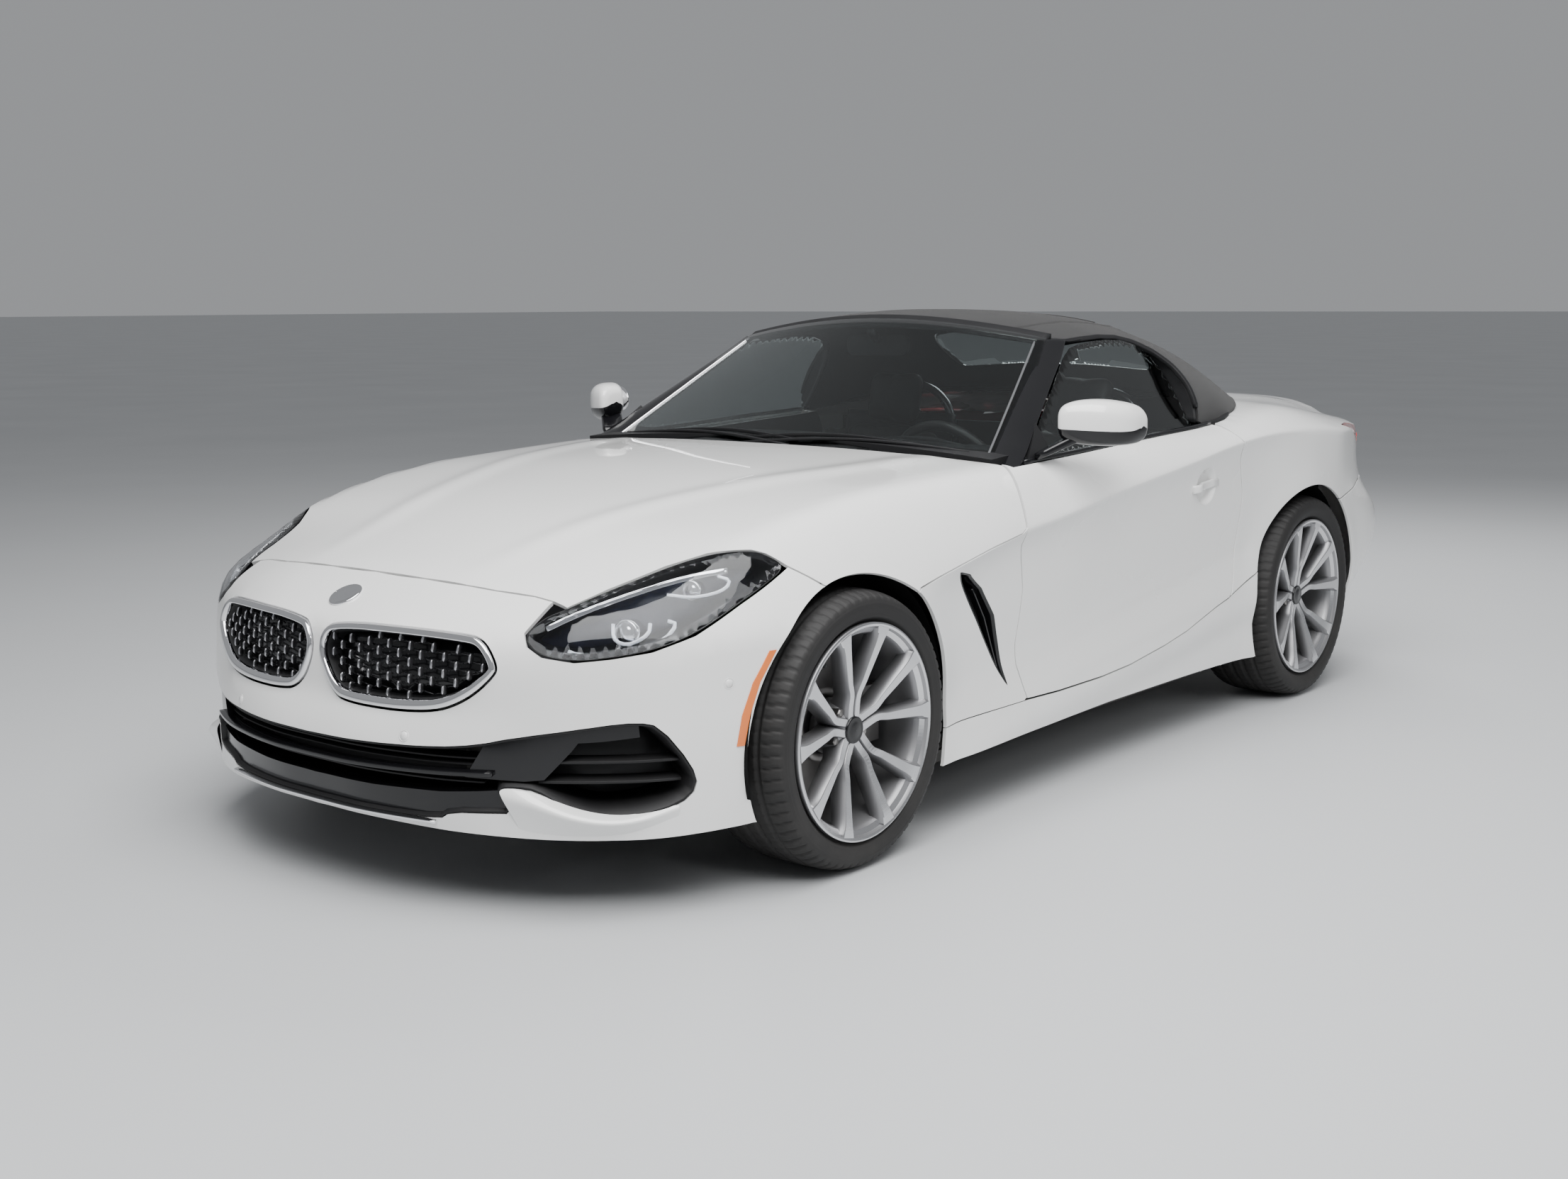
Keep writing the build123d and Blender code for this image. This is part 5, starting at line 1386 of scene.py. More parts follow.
WING = [(0.478, 0.372), (0.498, 0.415), (0.579, 0.440), (0.640, 0.446), (0.700, 0.448), (0.752, 0.446),
        (0.756, 0.400), (0.700, 0.392), (0.659, 0.389), (0.648, 0.371), (0.597, 0.306), (0.560, 0.302),
        (0.500, 0.304), (0.440, 0.306)]
both("intake_wing", BODY, to_nose(from_front(WING)), nose_chart, slot="gloss_black", thickness=0.022, gap=0.0,
     lift=-0.013, edge=0.005, step=0.02)
for side, word in SIDES:
    for number, height in enumerate((0.345, 0.300)):
        slat = [(side * x, height) for x in (0.590, 0.650, 0.710, 0.765, 0.810)]
        nose_bar(f"pocket_slat_{word}_{number}", slat, 0.040, 0.0030, 0.022, "gloss_black", "black_plastic")
BLADE = np.array([
    # across and height of the upper edge, the same of the lower edge, how proud
    (0.509, 0.292, 0.553, 0.187, 0.012), (0.572, 0.291, 0.592, 0.185, 0.034),
    (0.625, 0.259, 0.640, 0.183, 0.036), (0.690, 0.234, 0.700, 0.183, 0.030),
    (0.750, 0.231, 0.755, 0.190, 0.018), (0.802, 0.252, 0.800, 0.214, 0.006),
])
upper_edge = on_nose(to_nose(from_front(BLADE[:, :2])), 0.0)
lower_edge = on_nose(to_nose(from_front(BLADE[:, 2:4])), 0.0)
away = upper_edge - NOSE_POST
away /= np.linalg.norm(away, axis=1)[:, None]
section = np.linspace(0, 1, 9)
bulge = np.clip(np.minimum(section / 0.16, (1 - section) / 0.84), 0, 1)
blade_grid = (upper_edge[:, None] * (1 - section)[None, :, None]
              + lower_edge[:, None] * section[None, :, None]
              + away[:, None] * (BLADE[:, 4:5] * bulge[None, :] - 0.002)[..., None])
for side, word in SIDES:
    fin = surface(f"bumper_blade_{word}", blade_grid * (side, 1, 1), BODY, "paint", edge=0)
    fin.modifiers.new("smoother", "SUBSURF").render_levels = 2
    fin.modifiers["smoother"].levels = 2

# %% [markdown]
# ## Soft roof
# The roof is one cloth skin stretched over bows. Across the car each section is a superellipse that stands
# on the body, flat on top and round at the shoulder, and the exponent at each station is the one that
# passes through the measured shoulder. The side windows and the rear window are cut out of the same skin.

# %% Roof sections: station, foot across, foot height, shoulder across, shoulder height, crown height
ROOF = np.array([
    (1.06, 0.792, 0.880, 0.590, 1.120, 1.226), (1.20, 0.796, 0.880, 0.600, 1.150, 1.252),
    (1.35, 0.800, 0.880, 0.612, 1.170, 1.274), (1.60, 0.800, 0.890, 0.622, 1.190, 1.290),
    (1.85, 0.795, 0.900, 0.620, 1.180, 1.284), (2.08, 0.778, 0.920, 0.604, 1.146, 1.252),
    (2.22, 0.757, 0.932, 0.580, 1.106, 1.202), (2.32, 0.735, 0.942, 0.560, 1.064, 1.142),
    (2.40, 0.712, 0.950, 0.540, 1.020, 1.074), (2.46, 0.690, 0.955, 0.520, 0.986, 1.008),
])


def bend(wide, tall):
    """The exponent n for which wide^n + tall^n = 1, found by halving."""
    low, high = np.full(len(wide), 1.0), np.full(len(wide), 6.0)
    for _ in range(40):
        middle = (low + high) / 2
        over = wide ** middle + tall ** middle > 1
        low, high = np.where(over, middle, low), np.where(over, high, middle)
    return low


roof_foot = through(ROOF[:, 0], ROOF[:, 1])
roof_base = through(ROOF[:, 0], ROOF[:, 2])
roof_crown = through(ROOF[:, 0], ROOF[:, 5])
roof_bend = through(ROOF[:, 0],
                    bend(ROOF[:, 3] / ROOF[:, 1], (ROOF[:, 4] - ROOF[:, 2]) / (ROOF[:, 5] - ROOF[:, 2])))
ROOF_SPINE = 0.80
BOWS = (1.62, 1.93)


def roof_value(across, station, height):
    """Superellipse distance of the roof, ((x/a)^n + (z/b)^n)^(1/n) - 1, raised a little over each bow."""
    power = roof_bend(station)
    lift = sum(0.0022 * np.exp(-((station - bow) / 0.030) ** 2) for bow in BOWS)
    wide = np.abs(across) / (roof_foot(station) + lift)
    tall = np.clip(height - roof_base(station), 0, None) / (roof_crown(station) + lift - roof_base(station))
    return (wide ** power + tall ** power) ** (1 / power) - 1


def roof_chart(points):
    """Chart (station, angle x 0.85) of the roof, from a spine at 0.80 m."""
    station, angle = points[:, 0], points[:, 1] / UNROLL
    reach = outermost(
        lambda r: roof_value(r * np.sin(angle), station, ROOF_SPINE + r * np.cos(angle)), 0.02, 1.2,
        len(points)
    )
    return np.stack([reach * np.sin(angle), station + FRONT_AXLE, ROOF_SPINE + reach * np.cos(angle)], axis=1)


def to_roof(points):
    """Roof-chart coordinates of points given as (across, station, height)."""
    return np.stack([points[:, 1], UNROLL * np.arctan2(points[:, 0], points[:, 2] - ROOF_SPINE)], axis=1)


def roof_side(pairs):
    """Points on the roof's left side from (station, height) pairs."""
    pairs = np.array(pairs, float)
    across = outermost(lambda a: roof_value(a, pairs[:, 0], pairs[:, 1]), 0.0, 1.1, len(pairs))
    return np.stack([across, pairs[:, 0], pairs[:, 1]], axis=1)


def roof_above(pairs):
    """Points on the roof from (across, station) pairs."""
    pairs = np.array(pairs, float)
    height = outermost(lambda z: roof_value(pairs[:, 0], pairs[:, 1], z), 0.85, 1.4, len(pairs))
    return np.stack([pairs[:, 0], pairs[:, 1], height], axis=1)


# %% The cloth skin, its rear window and seams
HEADER = [(x, 1.312 + 0.060 * (x / 0.562) ** 2) for x in (0.0, 0.15, 0.30, 0.42, 0.50, 0.545)]
ROOF_EDGE = [(1.385, 1.202), (1.445, 1.198), (1.540, 1.205), (1.632, 1.209), (1.720, 1.206), (1.800, 1.190),
             (1.850, 1.160), (1.880, 1.115), (1.894, 1.055), (1.897, 0.990), (1.893, 0.945)]
foot_line = from_above([
    (0.790, 1.930), (0.795, 1.985), (0.790, 2.060), (0.770, 2.130), (0.730, 2.215), (0.680, 2.290),
    (0.595, 2.366), (0.498, 2.436), (0.300, 2.446), (0.0, 2.450),
])
roof_half = joined(roof_above(HEADER), roof_side(ROOF_EDGE), foot_line)
REAR_GLASS = rounded(mirrored(to_roof(roof_above([(0.0, 2.120), (0.330, 2.120), (0.385, 2.150),
                                                  (0.400, 2.330), (0.360, 2.362), (0.0, 2.370)])), (1, -1)),
                     2)
cloth = panel("soft_top_skin", BODY, mirrored(to_roof(roof_half), (1, -1)), roof_chart, slot="roof_fabric",
              holes=[REAR_GLASS], thickness=0.008, step=0.026, edge=0.002, replaces=["soft_top"])
panel("rear_glass", BODY, REAR_GLASS, roof_chart, slot="window_glass", thickness=0.004, gap=0.001,
      lift=-0.004, edge=0, replaces=["rear_window"])
SEAM = (0.0045, 0.0016, 0.0014, 3)


def roof_run(name, points, box, lift, slot):
    """A strip laid on the roof along (across, station, height) points, and its mirror image."""
    line = roof_chart(dense(to_roof(points), 0.015, closed=False))
    ups = line - np.stack([np.zeros(len(line)), line[:, 1], np.full(len(line), ROOF_SPINE)], axis=1)
    ups /= np.linalg.norm(ups, axis=1)[:, None]
    for side, word in SIDES:
        swept(f"{name}_{word}", (line + lift * ups) * (side, 1, 1), box, BODY, slot, ups * (side, 1, 1))


roof_run("roof_seam", roof_above([(0.44, 1.36), (0.455, 1.60), (0.455, 1.85), (0.44, 2.05), (0.40, 2.22),
                                  (0.36, 2.40)]), SEAM, 0.0006, "roof_fabric")
roof_run("roof_bow_seam", roof_above([(0.02, 1.93), (0.20, 1.93), (0.40, 1.925)]), SEAM, 0.0006,
         "roof_fabric")
roof_run("roof_gutter", roof_side(ROOF_EDGE[:-1]), (0.0085, 0.0065, 0.003, 4), -0.004, "black_plastic")
foot_path = placed(dense(foot_line, 0.02, closed=False))
foot_roof = roof_chart(to_roof(foot_path - (0, FRONT_AXLE, 0)))
share = np.linspace(0, 1, 7)
hem = (foot_roof[:, None] * (1 - share)[None, :, None]
       + (foot_path - (0, 0, 0.006))[:, None] * share[None, :, None])
for side, word in SIDES:
    walled(surface(f"roof_hem_{word}", hem * (side, 1, 1), BODY, "roof_fabric"), 0.010, 0)
    swept(f"roof_foot_{word}", foot_path * (side, 1, 1), (0.009, 0.007, 0.003, 4), BODY, "black_plastic")

# %% [markdown]
# ## Windscreen, pillars and side glass
# The screen is a ruled sheet that leans back and curves back towards its corners with the square of the
# distance from the middle. The pillars fill the strip between it and the side glass.

# %% Windscreen and its frame
SCREEN_FOOT = 0.893
PILLAR_FOOT, PILLAR_HEAD = 0.872, 1.203


def screen_point(share, height):
    """A point of the screen: station 0.747 + 1.551 (z - 0.905) + 0.143 u^2, across u times the half width."""
    half = 0.745 - 0.596 * (height - 0.905)
    place = 0.747 + FRONT_AXLE + 1.551 * (height - 0.905) + 0.143 * share ** 2
    return np.stack([share * half, place, height], axis=-1)


def screen_top(share):
    """Height of the screen's upper edge."""
    return 1.262 - 0.056 * share ** 2


def screen_part(reach, low, high, rows):
    """A grid of the screen between two shares of its height, as wide as a share of its width."""
    share, rise = np.meshgrid(np.linspace(-reach, reach, 49), np.linspace(low, high, rows), indexing="ij")
    return screen_point(share, SCREEN_FOOT + rise * (screen_top(share) - SCREEN_FOOT))


glass = surface("windscreen_glass", screen_part(1, 0, 1, 25), BODY, "window_glass", thick=0.005)
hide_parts("windscreen")
for name, low, high in (("screen_band_top", 0.93, 1.0), ("screen_band_low", 0.0, 0.10)):
    surface(name, screen_part(0.995, low, high, 4) + (0, 0.0065, 0), BODY, "black_plastic", thick=0.001)
header_share = np.linspace(-1.0, 1.0, 61)
header_path = screen_point(header_share, screen_top(header_share)) + (0, 0.012, 0)
header = swept("screen_header", header_path, (0.020, 0.0085, 0.004, 4), BODY, "black_plastic", (0, -0.55, 1))
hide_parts("windscreen_frame")
pillar_rise = np.linspace(0, 1, 40)
pillar_z = PILLAR_FOOT + pillar_rise * (PILLAR_HEAD - PILLAR_FOOT)
glass_edge = screen_point(np.linspace(0.920, 0.955, 40), pillar_z)
side_front = through([0.86, 0.905, 1.00, 1.10, 1.16, 1.21], [0.797, 0.884, 1.050, 1.226, 1.332, 1.405])
side_edge = np.stack([0.789 - 0.61 * (pillar_z - 0.905), side_front(pillar_z) + FRONT_AXLE, pillar_z], axis=1)
across = np.linspace(0, 1, 9)
bulge = np.array([0.80, -0.42, 0.35]) * 0.012
pillar = (glass_edge[:, None] * (1 - across)[None, :, None] + side_edge[:, None] * across[None, :, None]
          + bulge * (4 * across * (1 - across))[None, :, None] + np.array([0.003, -0.002, 0.0]))
for side, word in SIDES:
    piece = surface(f"screen_pillar_{word}", pillar * (side, 1, 1), BODY, "black_plastic", look="gloss_black")
    soften(walled(piece, 0.014, -side), 0.003, 3)
    bright = glass_edge[1:-1] * (side, 1, 1) + np.array([side * 0.001, -0.006, 0.003])
    swept(f"screen_bright_{word}", bright, (0.0032, 0.0032, 0.0012, 3), BODY, "bright_trim",
          (side * 0.6, -0.6, 0.5))

# %% Side glass, belt trim and mirror sails
SIDE_GLASS = [(0.894, 0.884), (0.984, 0.958), (1.150, 1.052), (1.335, 1.156), (1.400, 1.182), (1.450, 1.190),
              (1.540, 1.198), (1.632, 1.202), (1.720, 1.199), (1.793, 1.184), (1.842, 1.155), (1.871, 1.112),
              (1.885, 1.055), (1.888, 0.990), (1.884, 0.900)]


def glass_side(points):
    """Side glass from (station, height): across 0.786 - 0.61 (z - 0.905), bowed 6 mm outwards."""
    station, height = points[:, 0], points[:, 1]
    bow = 0.006 * np.clip(1 - ((height - 1.04) / 0.16) ** 2, -1, 1)
    return np.stack([0.786 - 0.61 * (height - 0.905) + bow, station + FRONT_AXLE, height], axis=1)


BELT_EDGE = [(0.803, 0.862), (0.803, 1.076), (0.803, 1.300), (0.803, 1.601), (0.802, 1.850), (0.800, 1.955)]
belt_points = placed(from_above(dense(BELT_EDGE, 0.03, closed=False)))
seal_edge = dense(ROOF_EDGE, 0.02, closed=False)
seal_out = placed(roof_side(seal_edge)) - (0.006, 0, 0.004)
seal_in = glass_side(seal_edge) - (0.016, 0, 0)
share = np.linspace(0, 1, 6)
seal_grid = seal_out[:, None] * (1 - share)[None, :, None] + seal_in[:, None] * share[None, :, None]
for side, word in SIDES:
    walled(surface(f"roof_seal_{word}", seal_grid * (side, 1, 1), BODY, "black_plastic"), 0.006, 0)
    rides = f"door_{word}"
    sheet = panel(f"side_glass_{word}", rides, SIDE_GLASS, glass_side, slot="window_glass", side=side,
                  thickness=0.004, gap=0.002, edge=0, step=0.03)
    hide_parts(f"door_glass_{word}")
    swept(f"belt_trim_{word}", (belt_points + (-0.004, 0, 0.004)) * (side, 1, 1), (0.0085, 0.0060, 0.003, 4),
          rides, "black_plastic", look="gloss_black")
    panel(f"mirror_sail_{word}", rides, [(0.872, 0.880), (1.020, 0.890), (1.010, 0.985), (0.984, 0.962)],
          glass_side, slot="black_plastic", side=side, thickness=0.012, gap=0.0, edge=0.002, step=0.03,
          lift=0.004)

# %% [markdown]
# ## Door mirrors
# A mirror housing is a rounded form carried outwards: each section is a superellipse, and the sections shrink
# towards both ends. Its upper shell is painted, the lower one and the foot are black.

# %% Mirror housings
MIRROR = np.array([
    # across, station, height, half length, half height
    (0.8440, 1.000, 0.998, 0.020, 0.012), (0.8470, 1.000, 0.999, 0.042, 0.030),
    (0.8600, 1.004, 1.001, 0.060, 0.044), (0.8900, 1.022, 1.003, 0.070, 0.051),
    (0.9300, 1.048, 1.002, 0.076, 0.053), (0.9700, 1.078, 0.998, 0.075, 0.050),
    (0.9980, 1.103, 0.993, 0.064, 0.043), (1.0120, 1.118, 0.987, 0.044, 0.029),
    (1.0165, 1.124, 0.984, 0.020, 0.012),
])
turn = np.linspace(0, 2 * np.pi, 48, endpoint=False)
steps = np.linspace(0, len(MIRROR) - 1, 33)
index = np.arange(len(MIRROR))
rings = np.stack([through(index, MIRROR[:, column])(steps) for column in range(5)], axis=1)
power = 2 / 2.9
cosine, sine = np.cos(turn), np.sin(turn)
along = np.sign(cosine) * np.abs(cosine) ** power
upward = np.sign(sine) * np.abs(sine) ** power
upward = np.where(upward < 0, upward * 1.35, upward)
housing = np.stack([
    np.broadcast_to(rings[:, 0:1], (33, 48)),
    rings[:, 1:2] + FRONT_AXLE + rings[:, 3:4] * np.where(along > 0, along * 0.72, along)[None],
    rings[:, 2:3] + rings[:, 4:5] * upward[None],
], axis=-1)
for side, word in SIDES:
    rides = f"door_{word}"
    shell = merged(f"mirror_shell_{word}", [(housing * (side, 1, 1), False, True, True)], rides, "paint")
    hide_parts(f"mirror_{word}")
    middles = face_rows(shell, "center")
    width = np.abs(middles[:, 0])
    depth = ((middles[:, 2] - np.interp(width, rings[:, 0], rings[:, 2]))
             / np.interp(width, rings[:, 0], rings[:, 4]))
    second_finish(shell, "gloss_black", depth < -0.50)
    lens_turn = np.linspace(0, 2 * np.pi, 40, endpoint=False)
    lens = np.stack([
        0.930 + 0.062 * np.cos(lens_turn),
        np.full(40, 1.048 + 0.055 + 0.0035) + 0.40 * 0.062 * np.cos(lens_turn),
        1.000 + 0.040 * np.sin(lens_turn),
    ], axis=1) + (0, FRONT_AXLE, 0)
    disc = np.stack([lens * (side, 1, 1), (lens - (0, 0.004, 0)) * (side, 1, 1)], axis=0)
    merged(f"mirror_glass_{word}", [(disc, False, True, True)], rides, "window_glass", look="bright_trim")
    foot = np.array([(0.792, 0.945, 0.902), (0.815, 0.956, 0.914), (0.842, 0.975, 0.932),
                     (0.870, 1.000, 0.950), (0.900, 1.022, 0.960)]) + (0, FRONT_AXLE, 0)
    size = [(1.25, 0.9), (1.15, 0.9), (1.0, 1.0), (1.0, 1.1), (0.9, 1.0)]
    swept(f"mirror_foot_{word}", foot * (side, 1, 1), (0.034, 0.011, 0.007, 4), rides, "gloss_black",
          scale=size)

# %% [markdown]
# ## Doors in depth, handles and side vents
# A door is as thick as the whole flank. Its outer skin is already made; here it gets its closed edges and its
# inner face, so that it looks whole when it swings open. The handle is a bar across a round dish.

# %% Door bodies
CORE_SUNK, CORE_GAP, CORE_INNER = 0.018, 0.009, 0.760


def door_core(name, body, side):
    """A closed body behind the door skin: its outer face lies 18 mm in, its inner face is flat."""
    loop = shrunk(dense(door_line), CORE_GAP)
    flat, faces = filled(loop, step=0.035, extra=to_over(CREASE_ROWS))
    outer = over_chart(flat)
    away = outward(outer)
    outer = outer - CORE_SUNK * away / np.linalg.norm(away, axis=1)[:, None]
    inside_face = outer.copy()
    inside_face[:, 0] = np.minimum(CORE_INNER, outer[:, 0] - 0.02)
    count, ring = len(outer), len(loop)
    edge = np.arange(ring)
    after = (edge + 1) % ring
    walls = np.concatenate([np.stack([edge, after, after + count], axis=1),
                            np.stack([edge, after + count, edge + count], axis=1)])
    vertices = np.concatenate([outer, inside_face]) * (side, 1, 1)
    every = np.concatenate([faces, faces[:, ::-1] + count, walls])
    piece = outward_mesh(new_object(name, vertices, every, body, "paint", smooth=False))
    second_finish(piece, "cabin_plastic", face_rows(piece, "normal")[:, 0] * side < -0.7)
    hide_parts(body)


for side, word in SIDES:
    rides = f"door_{word}"
    door_core(f"door_core_{word}", rides, side)
    armrest = np.array([(0.752, 1.02, 0.640), (0.742, 1.12, 0.655), (0.735, 1.30, 0.660),
                        (0.735, 1.50, 0.668), (0.745, 1.66, 0.690),
                        (0.756, 1.72, 0.720)]) + (0, FRONT_AXLE, 0)
    swept(f"armrest_{word}", armrest * (side, 1, 1), (0.030, 0.026, 0.012, 4), rides, "cabin_plastic")
    grip = placed(from_side([(1.700, 0.752), (1.730, 0.754), (1.765, 0.757), (1.800, 0.760), (1.835, 0.763),
                             (1.862, 0.765)]))
    bow = np.array([0.0, 0.011, 0.015, 0.015, 0.011, 0.0])[:, None] * (1, 0, 0)
    swept(f"door_grip_{word}", (grip + bow) * (side, 1, 1), (0.0065, 0.0125, 0.005, 4), rides, "paint")
vent_loop = shrunk(dense(to_over(VENT)), -0.001)


def on_flank(points, sunk=0.0):
    """Over-chart points on the skin, sunk straight inwards across the car."""
    return over_chart(points) - (sunk, 0, 0)


for side, word in SIDES:
    ring = ring_forms(vent_loop, [(0.0, 0.001), (0.0015, 0.0005), (0.004, 0.012), (0.005, 0.040)], on_flank)
    surface(f"vent_lining_{word}", ring * (side, 1, 1), BODY, "gloss_black", close_columns=True, thick=0.0015)
    back_plate(f"vent_back_{word}", shrunk(vent_loop, 0.0045), on_flank, 0.039, "gloss_black", side, 0.02,
               look="black_plastic")
    blade = (placed(from_side([(0.500, 0.600), (0.560, 0.520), (0.605, 0.440), (0.640, 0.370)]))
             - (0.012, 0, 0))
    swept(f"vent_blade_{word}", dense(blade, 0.02, closed=False) * (side, 1, 1), (0.010, 0.0022, 0.0015, 3),
          BODY, "gloss_black", (0, 0.7, 0.7))

# %% [markdown]
# ## Rear fittings
# The bumper is holed for the exhaust tips, so each hole gets a dark lining and each tip a bright sleeve
# whose wall turns back inside. A sleeve is one ring of points carried out, over its lip and back in. The
# diffuser continues the skin and carries upright fins.

# %% Exhaust tips, diffuser and plate place
TIP_SHAPE = rounded(dense([(0.449, 0.2430), (0.460, 0.3335), (0.580, 0.3335), (0.591, 0.2430)], 0.012), 2)
tip_middle = TIP_SHAPE.mean(axis=0)
SLEEVE = [(0.97, 1.900), (1.0, 2.100), (1.0, 2.116), (0.985, 2.123), (0.93, 2.124), (0.84, 2.118),
          (0.80, 2.060), (0.79, 1.990)]
for side, word in SIDES:
    ring = ring_forms(TIP_HOLE, [(0.0, 0.001), (-0.002, 0.010), (-0.004, 0.060)], on_tail) * (side, 1, 1)
    surface(f"tip_lining_{word}", ring, BODY, "black_plastic", close_columns=True, thick=0.002)
    sleeve = np.stack([
        np.stack([tip_middle[0] + size * (TIP_SHAPE[:, 0] - tip_middle[0]), np.full(len(TIP_SHAPE), place),
                  tip_middle[1] + size * (TIP_SHAPE[:, 1] - tip_middle[1])], axis=1) for size, place in SLEEVE
    ]) * (side, 1, 1)
    rim = surface(f"exhaust_tip_{word}", sleeve, BODY, "exhaust_steel", close_columns=True,
                  look="bright_trim")
    outward_mesh(rim)
    # A near-black felt disc closes each tip a little way in: painted shade standing for the dark depth of the
    # pipe.
    shade_disc = [(tip_middle + size * (TIP_SHAPE - tip_middle)) for size in (0.86, 0.45, 0.02)]
    shade_disc = np.stack([np.insert(loop, 1, 2.030, axis=1) for loop in shade_disc]) * (side, 1, 1)
    surface(f"tip_shade_disc_{word}", shade_disc, BODY, "exhaust_steel", close_columns=True, thick=0.003,
            look="arch_felt")
    reflector = to_tail(from_behind([(0.640, 0.372), (0.800, 0.384), (0.800, 0.400), (0.640, 0.388)]))
    panel(f"rear_reflector_{word}", BODY, reflector, tail_chart, slot="tail_lens", side=side, gap=0.0,
          lift=0.003, thickness=0.006, step=0.02)
    for number, (across, height) in enumerate(((0.300, 0.490), (0.690, 0.500))):
        spot = placed(from_behind([(across, height)]))[0] * (side, 1, 1)
        button(f"rear_sensor_{word}_{number}", spot, skin_normal(spot), SENSOR_RINGS, BODY, "paint", count=28)
diffuser_half = to_tail(from_behind([(0.0, 0.388), (0.356, 0.388), (0.424, 0.328), (0.430, 0.186),
                                     (0.0, 0.186)]))
panel("diffuser_skin", BODY, mirrored(diffuser_half), tail_chart, slot="black_plastic", lift=-0.006,
      thickness=0.012, edge=0.002, replaces=["diffuser"])
FIN_SCALE = [(1, 0.45), (1, 0.9), (1, 1.0), (1, 0.9), (1, 0.5)]
for number, across in enumerate((-0.290, -0.145, 0.0, 0.145, 0.290)):
    fin_path = placed(from_behind([(across, height) for height in (0.350, 0.310, 0.260, 0.215, 0.192)]))
    swept(f"diffuser_fin_{number}", fin_path + (0, -0.016, 0), (0.0040, 0.030, 0.0030, 4), BODY,
          "black_plastic", (0, 1, 0), FIN_SCALE, look="gloss_black")
PLATE_PARTS = (("plate_frame", (0.262, 0.060), None, 0.004),
               ("plate_blank", (0.252, 0.050), "plate_white", 0.0065))
for name, half, look, lift in PLATE_PARTS:
    outline = to_tail(from_behind(dense(rounded_box(*half, 0.010), 0.03) + (0.0, 0.572)))
    panel(name, BODY, outline, tail_chart, slot="black_plastic", look=look, gap=0.0, lift=lift,
          thickness=0.006)
boot_badge = placed(from_behind([(0.0, 0.862)]))[0]
button("boot_disc", boot_badge, skin_normal(boot_badge), [(r * 0.86, h) for r, h in DISC_RINGS], "boot_lid",
       "bright_trim", look="satin_trim")

# %% [markdown]
# ## Under the lids
# The bonnet and the boot lid are lined on their inner sides, so that they look whole when they stand open,
# and the engine wears a ribbed cover. A lining is the same outline again, shrunk and sunk under the skin.

# %% Linings, engine cover and wheel-arch liners
panel("bonnet_lining", "bonnet", mirrored(to_over(bonnet_half), (1, -1)), over_chart, slot="black_plastic",
      gap=0.045, lift=-0.011, thickness=0.014, step=0.04, edge=0.004)
panel("boot_lining", "boot_lid", mirrored(boot_half_line), boot_chart, slot="black_plastic", gap=0.035,
      lift=-0.011, thickness=0.012, step=0.04, edge=0.003)
along, around = np.meshgrid(np.linspace(-1, 1, 61), np.linspace(-1, 1, 41), indexing="ij")
crowned = (1 - np.abs(along) ** 6) ** 0.5 * (1 - np.abs(around) ** 6) ** 0.5
ribs = 0.006 * np.clip(np.cos(around * 7 * np.pi), 0, 1) * (np.abs(along) < 0.72) * (np.abs(around) < 0.86)
cover_top = np.stack([0.215 * around, FRONT_AXLE + 0.17 + 0.285 * along, 0.700 + 0.055 * crowned + ribs],
                     axis=-1)
surface("engine_cover", cover_top, BODY, "black_plastic", thick=0.004)
ARCH_TURN = np.radians(np.linspace(-14, 194, 64))
for side, word in SIDES:
    for hub, radius, where in ((FRONT_HUB, FRONT_ARCH + 0.010, "front"),
                               (REAR_HUB, REAR_ARCH + 0.010, "rear")):
        lips = np.array([0.500, 0.640, 0.760, 0.850, 0.878])
        liner = np.stack(np.broadcast_arrays(
            side * lips, hub[1] + radius * np.cos(ARCH_TURN)[:, None],
            hub[2] + radius * np.sin(ARCH_TURN)[:, None],
        ), axis=-1)
        surface(f"arch_liner_{where}_{word}", liner, BODY, "black_plastic", look="arch_felt")

# %% [markdown]
# ## Cabin
# Each seat is a set of padded leather forms on a moulded shell. A pad is a closed crowned form: its outline
# is a rounded rectangle whose sides pull in a little between the corners, its upper side swells, and sewn
# channels press into it where the cover is stitched down.

# %% Pads and seats
PAD_ROWS, PAD_COLUMNS = 30, 72
PAD_PULL = 0.03
CHANNEL_WIDE = 0.045


def pad(name, centre, across, along, up, half, channels=(), look=None, slot="seat_leather"):
    """A closed cushion: it swells by (1 - s^4)^0.5 over a rounded rectangle and is pressed in by channels.

    s runs from 0 in the middle to 1 at the seam; half = (wide, long, thick) are its half sizes along its own
    axes; a channel is (direction, place, depth).
    """
    turn = np.linspace(0, 2 * np.pi, PAD_COLUMNS, endpoint=False)
    share = np.sin(np.linspace(0, 1, PAD_ROWS) * np.pi / 2)[:, None]
    cosine, sine = np.cos(turn), np.sin(turn)
    corner = (np.abs(cosine) ** 5 + np.abs(sine) ** 5) ** (-1 / 5)
    waist = 1 - PAD_PULL * np.cos(2 * turn)[None] ** 2 * share
    wide = share * (corner * cosine)[None] * waist
    long = share * (corner * sine)[None] * waist
    swell = (1 - np.minimum(share, 1) ** 4) ** 0.5 * np.ones_like(wide)
    sides = []
    for direction in (1, -1):
        height = direction * half[2] * swell
        for axis, place, depth in channels:
            line = (wide, long)[axis] - place
            height = height - (direction > 0) * depth * np.exp(-(line / CHANNEL_WIDE) ** 2) * swell
        sides.append(np.stack([wide * half[0], long * half[1], height], axis=-1))
    axes = np.stack([np.asarray(across, float), np.asarray(along, float), np.asarray(up, float)])
    axes /= np.linalg.norm(axes, axis=1)[:, None]
    grid = np.concatenate([sides[0], sides[1][::-1][1:]]) @ axes + np.asarray(centre, float)
    return merged(name, [(grid, False, True, False)], BODY, slot, look=look)


